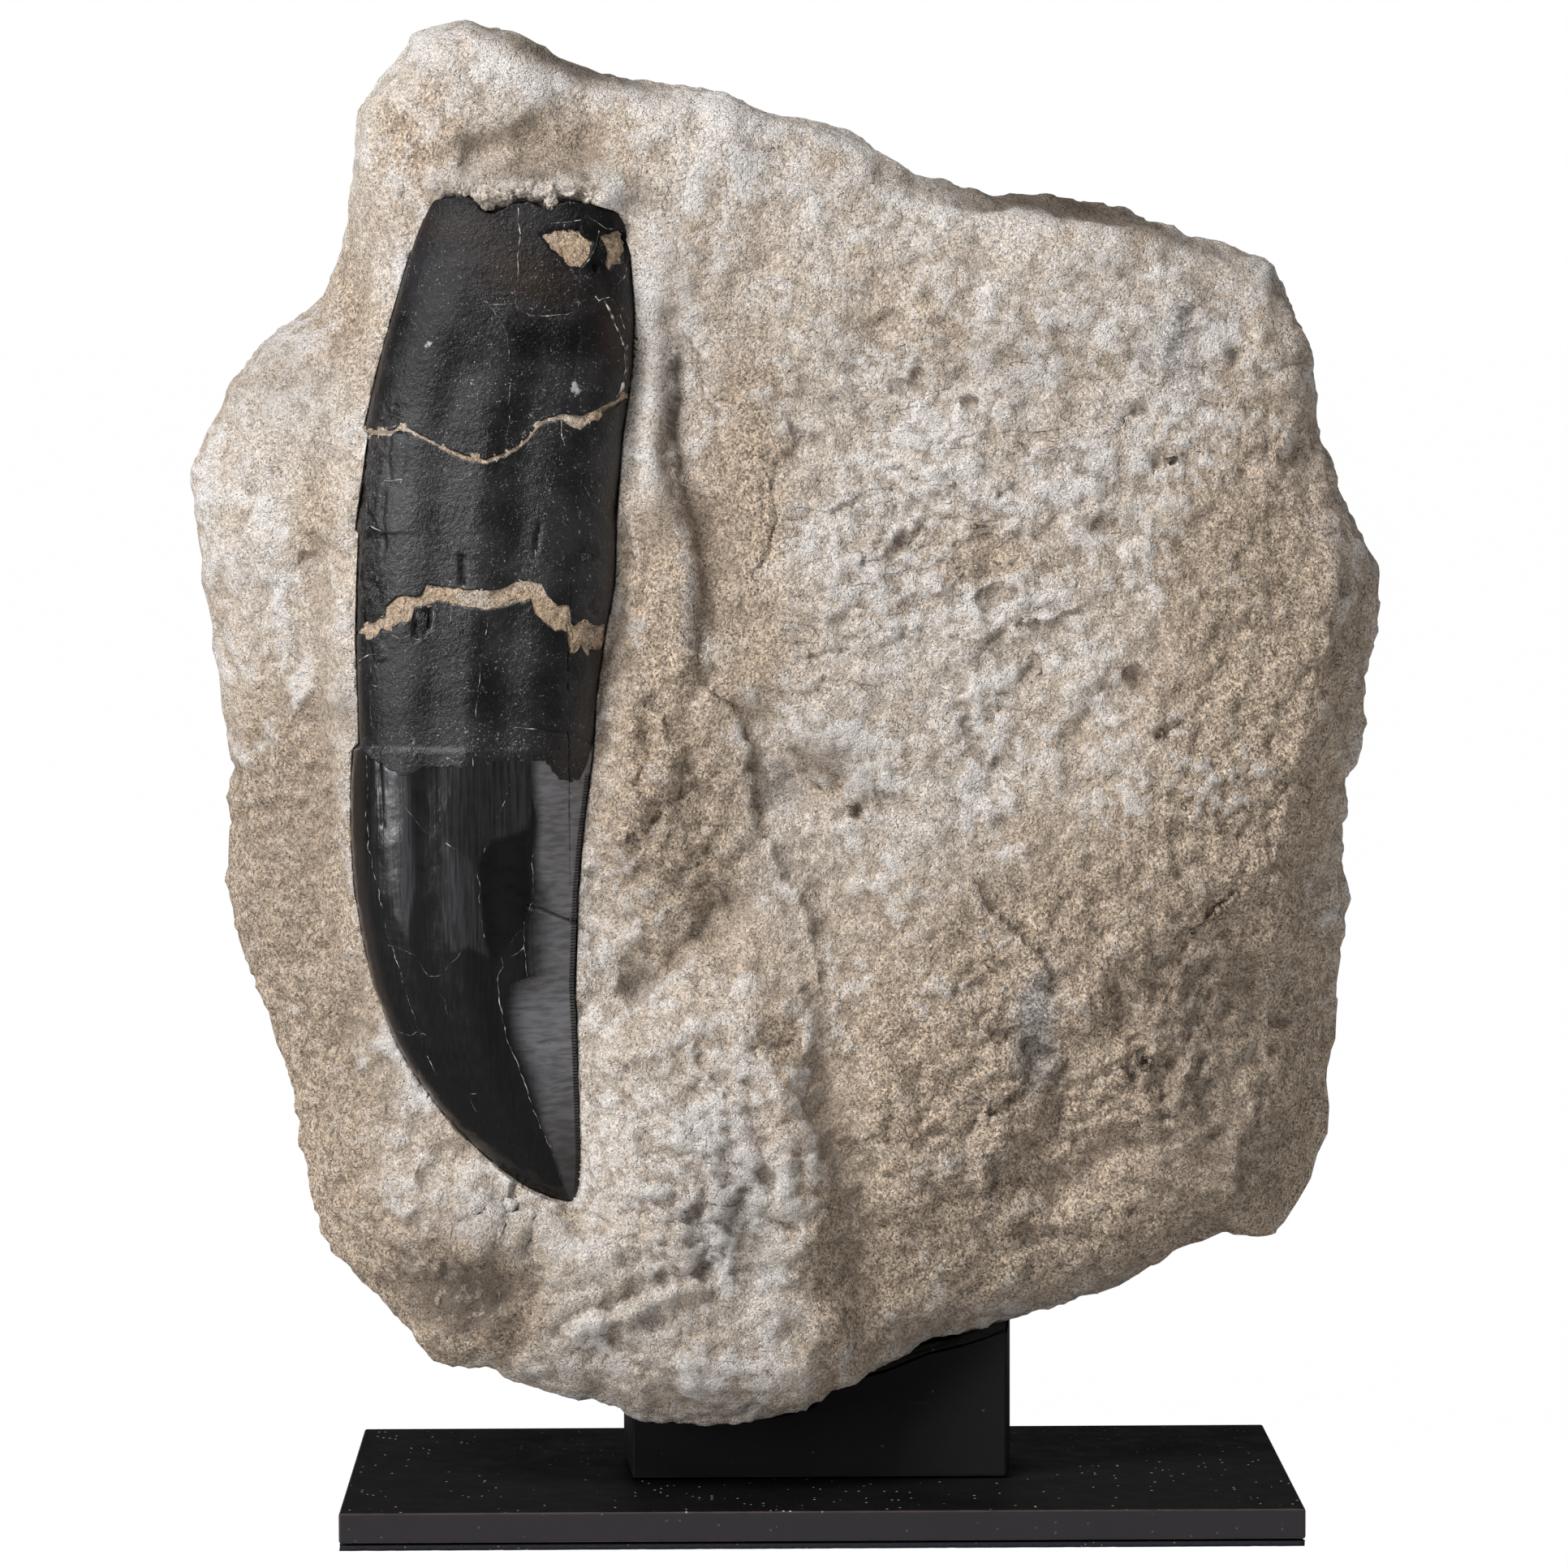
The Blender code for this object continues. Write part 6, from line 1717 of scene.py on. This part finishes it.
def crack_curve(width, points):
    curve = bpy.data.curves.new("crack", "CURVE")
    curve.dimensions = "3D"
    curve.bevel_depth = width * MM * CRACK_SLIMMER / 2.0
    curve.bevel_resolution = 0
    curve.use_fill_caps = True
    path = crack_path(points)
    spline = curve.splines.new("POLY")
    spline.points.add(len(path) - 1)
    for point, place in zip(spline.points, path):
        point.co = (*place, 1.0)
        point.radius = CRACK_THINNEST + CRACK_SWELLING * abs(noise.noise(Vector(place) / CRACK_BEADS))
    return curve


bm = bmesh.new()
for width, crack_points in CRACKS:
    item = bpy.data.objects.new("crack", crack_curve(width, crack_points))
    crack_mesh = bpy.data.meshes.new_from_object(item)
    bm.from_mesh(crack_mesh)
    bpy.data.objects.remove(item)
    bpy.data.meshes.remove(crack_mesh)
bmesh.ops.remove_doubles(bm, verts=bm.verts[:], dist=1e-7)
bmesh.ops.recalc_face_normals(bm, faces=bm.faces[:])
crack_material, tree, shader = new_material("crack_sand", Roughness=0.9, Specular_IOR_Level=0.25)
sandy = rising(tree, clouds(tree, 1.0 * MM, 4.0), 0.40, 0.62)
use(tree, shader, Base_Color=blend(tree, sandy, CRACK_DARK, CRACK_LIGHT),
    Normal=bump(tree, clouds(tree, 0.1 * MM), 0.03 * MM))
finish_piece(bm, "crack_filling", crack_material, "sandstone")

# %% [markdown]
# ## Dust, as a node group
#
# The block, the plate and its pad are all black, and on black every grain of dust shows. The group scatters
# specks of one size and share, and adds a few fine scratches.

# %% Dust
dusty, coming, going = new_group(
    "dust", (("Speck Size", "NodeSocketFloat", 0.5 * MM), ("Share", "NodeSocketFloat", 0.05)),
    ("Specks", "Scratches", "Film"))
place = add(dusty, "TexCoord").outputs["Object"]
scale = maths(dusty, "DIVIDE", 1.0, coming["Speck Size"])
cells = add(dusty, "TexVoronoi", {"Vector": place, "Scale": scale}).outputs
chosen = add(dusty, "SeparateColor", {0: cells["Color"]}).outputs[0]
some = maths(dusty, "GREATER_THAN", chosen, minus(dusty, 1.0, coming["Share"]))
drawn = place_of(dusty, (0.05, 1.0, 1.0), (0.3, 0.2, 0.9))
lines = add(dusty, "TexNoise", {"Vector": drawn, "Scale": 1.0 / (0.7 * MM), "Detail": 2.0}).outputs[0]
film = add(dusty, "TexNoise", {"Vector": place, "Scale": 1.0 / (14.0 * MM), "Detail": 6.0}).outputs[0]
give(dusty, going, {
    "Specks": times(dusty, some, rising(dusty, cells["Distance"], 0.26, 0.10)),
    "Scratches": rising(dusty, lines, 0.74, 0.80),
    "Film": rising(dusty, film, 0.40, 0.75),
})
print("node group:", dusty.name)

# %% [markdown]
# ## Worn and highlighted arrises, as a node group
#
# Paint wears first along the arrises, and the same lighter band also stands for the arrises' highlight, as a
# painted highlight. The distance to an arris is worked out from the place on the piece and the half sizes of
# its box: near an edge, the two largest of the three distances to the faces are both small.

# %% Worn and highlighted arrises
arris, coming, going = new_group("arris_wear_and_highlight", (
    ("Middle", "NodeSocketVector", (0.0, 0.0, 0.0)), ("Half Size", "NodeSocketVector", (1.0, 1.0, 1.0)),
    ("Width", "NodeSocketFloat", 0.4 * MM)), ("Wear And Highlight",))
place = add(arris, "TexCoord").outputs["Object"]
from_middle = add(arris, "VectorMath", {0: place, 1: coming["Middle"]}, operation="SUBTRACT").outputs[0]
folded = add(arris, "VectorMath", {0: from_middle}, operation="ABSOLUTE").outputs[0]
depth = add(arris, "VectorMath", {0: folded, 1: coming["Half Size"]}, operation="SUBTRACT").outputs[0]
axes = add(arris, "SeparateXYZ", {0: depth}).outputs
largest = maths(arris, "MAXIMUM", maths(arris, "MAXIMUM", axes[0], axes[1]), axes[2])
smallest = maths(arris, "MINIMUM", maths(arris, "MINIMUM", axes[0], axes[1]), axes[2])
total = plus(arris, axes[0], axes[1], axes[2])
second = minus(arris, minus(arris, total, largest), smallest)
uneven = add(arris, "TexNoise", {"Vector": place, "Scale": 1.0 / (2.5 * MM), "Detail": 4.0}).outputs[0]
reach = times(arris, coming["Width"], plus(arris, uneven, 0.3))
give(arris, going, {"Wear And Highlight": rising(arris, maths(arris, "DIVIDE", second, reach), -1.0, -0.2)})
print("node group:", arris.name)

# %% [markdown]
# ## Satin black for the block and the plate
#
# Both are painted satin black. Their arrises are lighter, partly worn and partly painted highlight: brown on
# the plate and a lighter black on the block. The plate's sides are painted lighter than its top, as painted
# light. A thin film of dust makes the paint uneven, and specks lie mostly on what faces up. These two are the
# packed pieces themselves, so they only get their finish here.

# %% Satin black
BLOCK_BLACK = (0.0125, 0.0121, 0.0128, 1.0)
BLOCK_WORN_AND_LIT = (0.045, 0.044, 0.045, 1.0)
PLATE_BLACK = (0.0050, 0.0046, 0.0047, 1.0)
PLATE_SIDES_LIT = (0.030, 0.027, 0.030, 1.0)
PLATE_WORN_AND_LIT = (0.070, 0.054, 0.046, 1.0)
FILM_GREY = (0.020, 0.019, 0.020, 1.0)
SCRATCH_GREY = (0.06, 0.06, 0.06, 1.0)
DUST_WHITE = (0.55, 0.54, 0.52, 1.0)
PAINT_SPECK = 0.80 * MM


def satin_black(name, node, paint, lit_sides, worn_and_lit, width, roughness, share):
    """Black paint with arrises partly worn and partly painted highlight, and sides in their own colour, painted
    lighter on the plate as painted light, for a packed box of a piece.
    """
    material, tree, shader = new_material(name, IOR=1.14, Specular_IOR_Level=0.5)
    low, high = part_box(node)
    edge = add(tree, "Group", node_tree=arris)
    edge.inputs["Middle"].default_value = (low + high) / 2.0
    edge.inputs["Half Size"].default_value = (high - low) / 2.0
    edge.inputs["Width"].default_value = width
    dirt = add(tree, "Group", node_tree=dusty)
    dirt.inputs["Share"].default_value = share
    dirt.inputs["Speck Size"].default_value = PAINT_SPECK
    upwards = add(tree, "SeparateXYZ", {0: add(tree, "NewGeometry").outputs["Normal"]}).outputs[2]
    lying = times(tree, dirt.outputs["Specks"], rising(tree, upwards, 0.2, 0.8, 0.08, 0.8))
    colour = coats(tree, paint,
                   # Faces that don't look up take the sides' colour: on the plate painted lighter, as painted
                   # light.
                   (rising(tree, upwards, 0.8, 0.3), lit_sides),
                   (times(tree, dirt.outputs["Film"], 0.25), FILM_GREY),
                   # Arrises lighter: partly wear, partly painted highlight.
                   (edge.outputs["Wear And Highlight"], worn_and_lit),
                   (times(tree, dirt.outputs["Scratches"], 0.20), SCRATCH_GREY),
                   (lying, DUST_WHITE))
    rough = rising(tree, clouds(tree, 3.0 * MM), 0.3, 0.7, roughness - 0.05, roughness + 0.05)
    rough = plus(tree, rough, times(tree, dirt.outputs["Film"], 0.10))
    use(tree, shader, Base_Color=colour, Roughness=rough,
        Normal=bump(tree, clouds(tree, 0.16 * MM, 2.0), 0.012 * MM))
    return material


def dress(node, material):
    """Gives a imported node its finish."""
    if not nodes[node].material_slots:
        nodes[node].data.materials.append(material)
    for slot in nodes[node].material_slots:
        slot.material = material
    print("dressed:", node)


block_paint = satin_black("block_paint", "block", BLOCK_BLACK, BLOCK_BLACK, BLOCK_WORN_AND_LIT, 0.30 * MM, 0.42, 0.02)
plate_paint = satin_black("plate_paint", "base_plate", PLATE_BLACK, PLATE_SIDES_LIT, PLATE_WORN_AND_LIT, 0.34 * MM,
                          0.46, 0.09)
dress("block", block_paint)
dress("base_plate", plate_paint)

# %% [markdown]
# ## Bedding and pad
#
# The stone is set on the block in a thin dark paste, which shows as a wavy line where the block meets the
# stone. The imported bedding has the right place, so its merged copy is divided and roughened. The pad under
# the plate is thin felt: a slab with its side edges roughened into short fibres.

# %% Bedding and pad
PASTE_DARK = (0.006, 0.006, 0.006, 1.0)
PASTE_LIGHT = (0.016, 0.015, 0.014, 1.0)
PASTE_EDGE = 0.8 * MM
PASTE_LUMPS = (0.10, 2.4, 3, 0.9)
FELT_DARK = (0.0060, 0.0060, 0.0090, 1.0)
FELT_LIGHT = (0.022, 0.022, 0.030, 1.0)
FELT_SPECK = (0.25, 0.24, 0.23, 1.0)
FIBRE_SPACING = 1.1 * MM
FIBRE_LENGTH = 0.35 * MM
PAD_STEP = 0.8 * MM


def merged_copy(node):
    """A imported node's mesh with its split points merged."""
    bm = bmesh.new()
    bm.from_mesh(nodes[node].data)
    bmesh.ops.remove_doubles(bm, verts=bm.verts[:], dist=1e-6)
    return bm


def matt_black(name, dark, light, size):
    material, tree, shader = new_material(name, Roughness=0.9, Specular_IOR_Level=0.2)
    dirt = add(tree, "Group", node_tree=dusty)
    dirt.inputs["Share"].default_value = 0.10
    colour = blend(tree, clouds(tree, size, 4.0), dark, light)
    colour = blend(tree, times(tree, dirt.outputs["Specks"], 0.6), colour, FELT_SPECK)
    use(tree, shader, Base_Color=colour, Normal=bump(tree, clouds(tree, size, 3.0), 0.12 * MM))
    return material


bm = merged_copy("bedding")
bmesh.ops.triangulate(bm, faces=bm.faces[:])
long_edges = [edge for edge in bm.edges if edge.calc_length() > PASTE_EDGE]
bmesh.ops.subdivide_edges(bm, edges=long_edges, cuts=1)
bmesh.ops.triangulate(bm, faces=bm.faces[:])
points = points_of(bm)
points += normals_of(bm) * (layer(points, *PASTE_LUMPS) * MM)[:, None]
move_to(bm, points)
paste = matt_black("bedding_paste", PASTE_DARK, PASTE_LIGHT, 0.6 * MM)
finish_piece(bm, "bedding_paste", paste, "bedding_black", "bedding")

pad_low, pad_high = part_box("base_pad")
plate_low, plate_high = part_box("base_plate")
pad_low.xy, pad_high.xy = plate_low.xy, plate_high.xy
bm = bmesh.new()
bmesh.ops.create_cube(bm, size=1.0)
bmesh.ops.scale(bm, vec=pad_high - pad_low, verts=bm.verts)
bmesh.ops.translate(bm, vec=(pad_low + pad_high) / 2.0, verts=bm.verts)
for axis in (0, 1):
    cuts = int((pad_high[axis] - pad_low[axis]) / PAD_STEP)
    run = [edge for edge in bm.edges if abs((edge.verts[0].co - edge.verts[1].co)[axis]) > 5.0 * PAD_STEP]
    bmesh.ops.subdivide_edges(bm, edges=run, cuts=cuts, use_grid_fill=True)
points = points_of(bm)
middle = np.array((pad_low + pad_high) / 2.0)
at_side = np.abs(points - middle) > np.array(pad_high - pad_low) / 2.0 - 1e-6
inwards = np.where(at_side, np.sign(middle - points), 0.0)
inwards[:, 2] = 0.0
fray = np.array([abs(noise.noise(Vector(point) / FIBRE_SPACING)) for point in points])
move_to(bm, points + inwards * fray[:, None] * FIBRE_LENGTH)
finish_piece(bm, "felt_pad", matt_black("felt", FELT_DARK, FELT_LIGHT, 0.35 * MM), "pad_black", "base_pad")
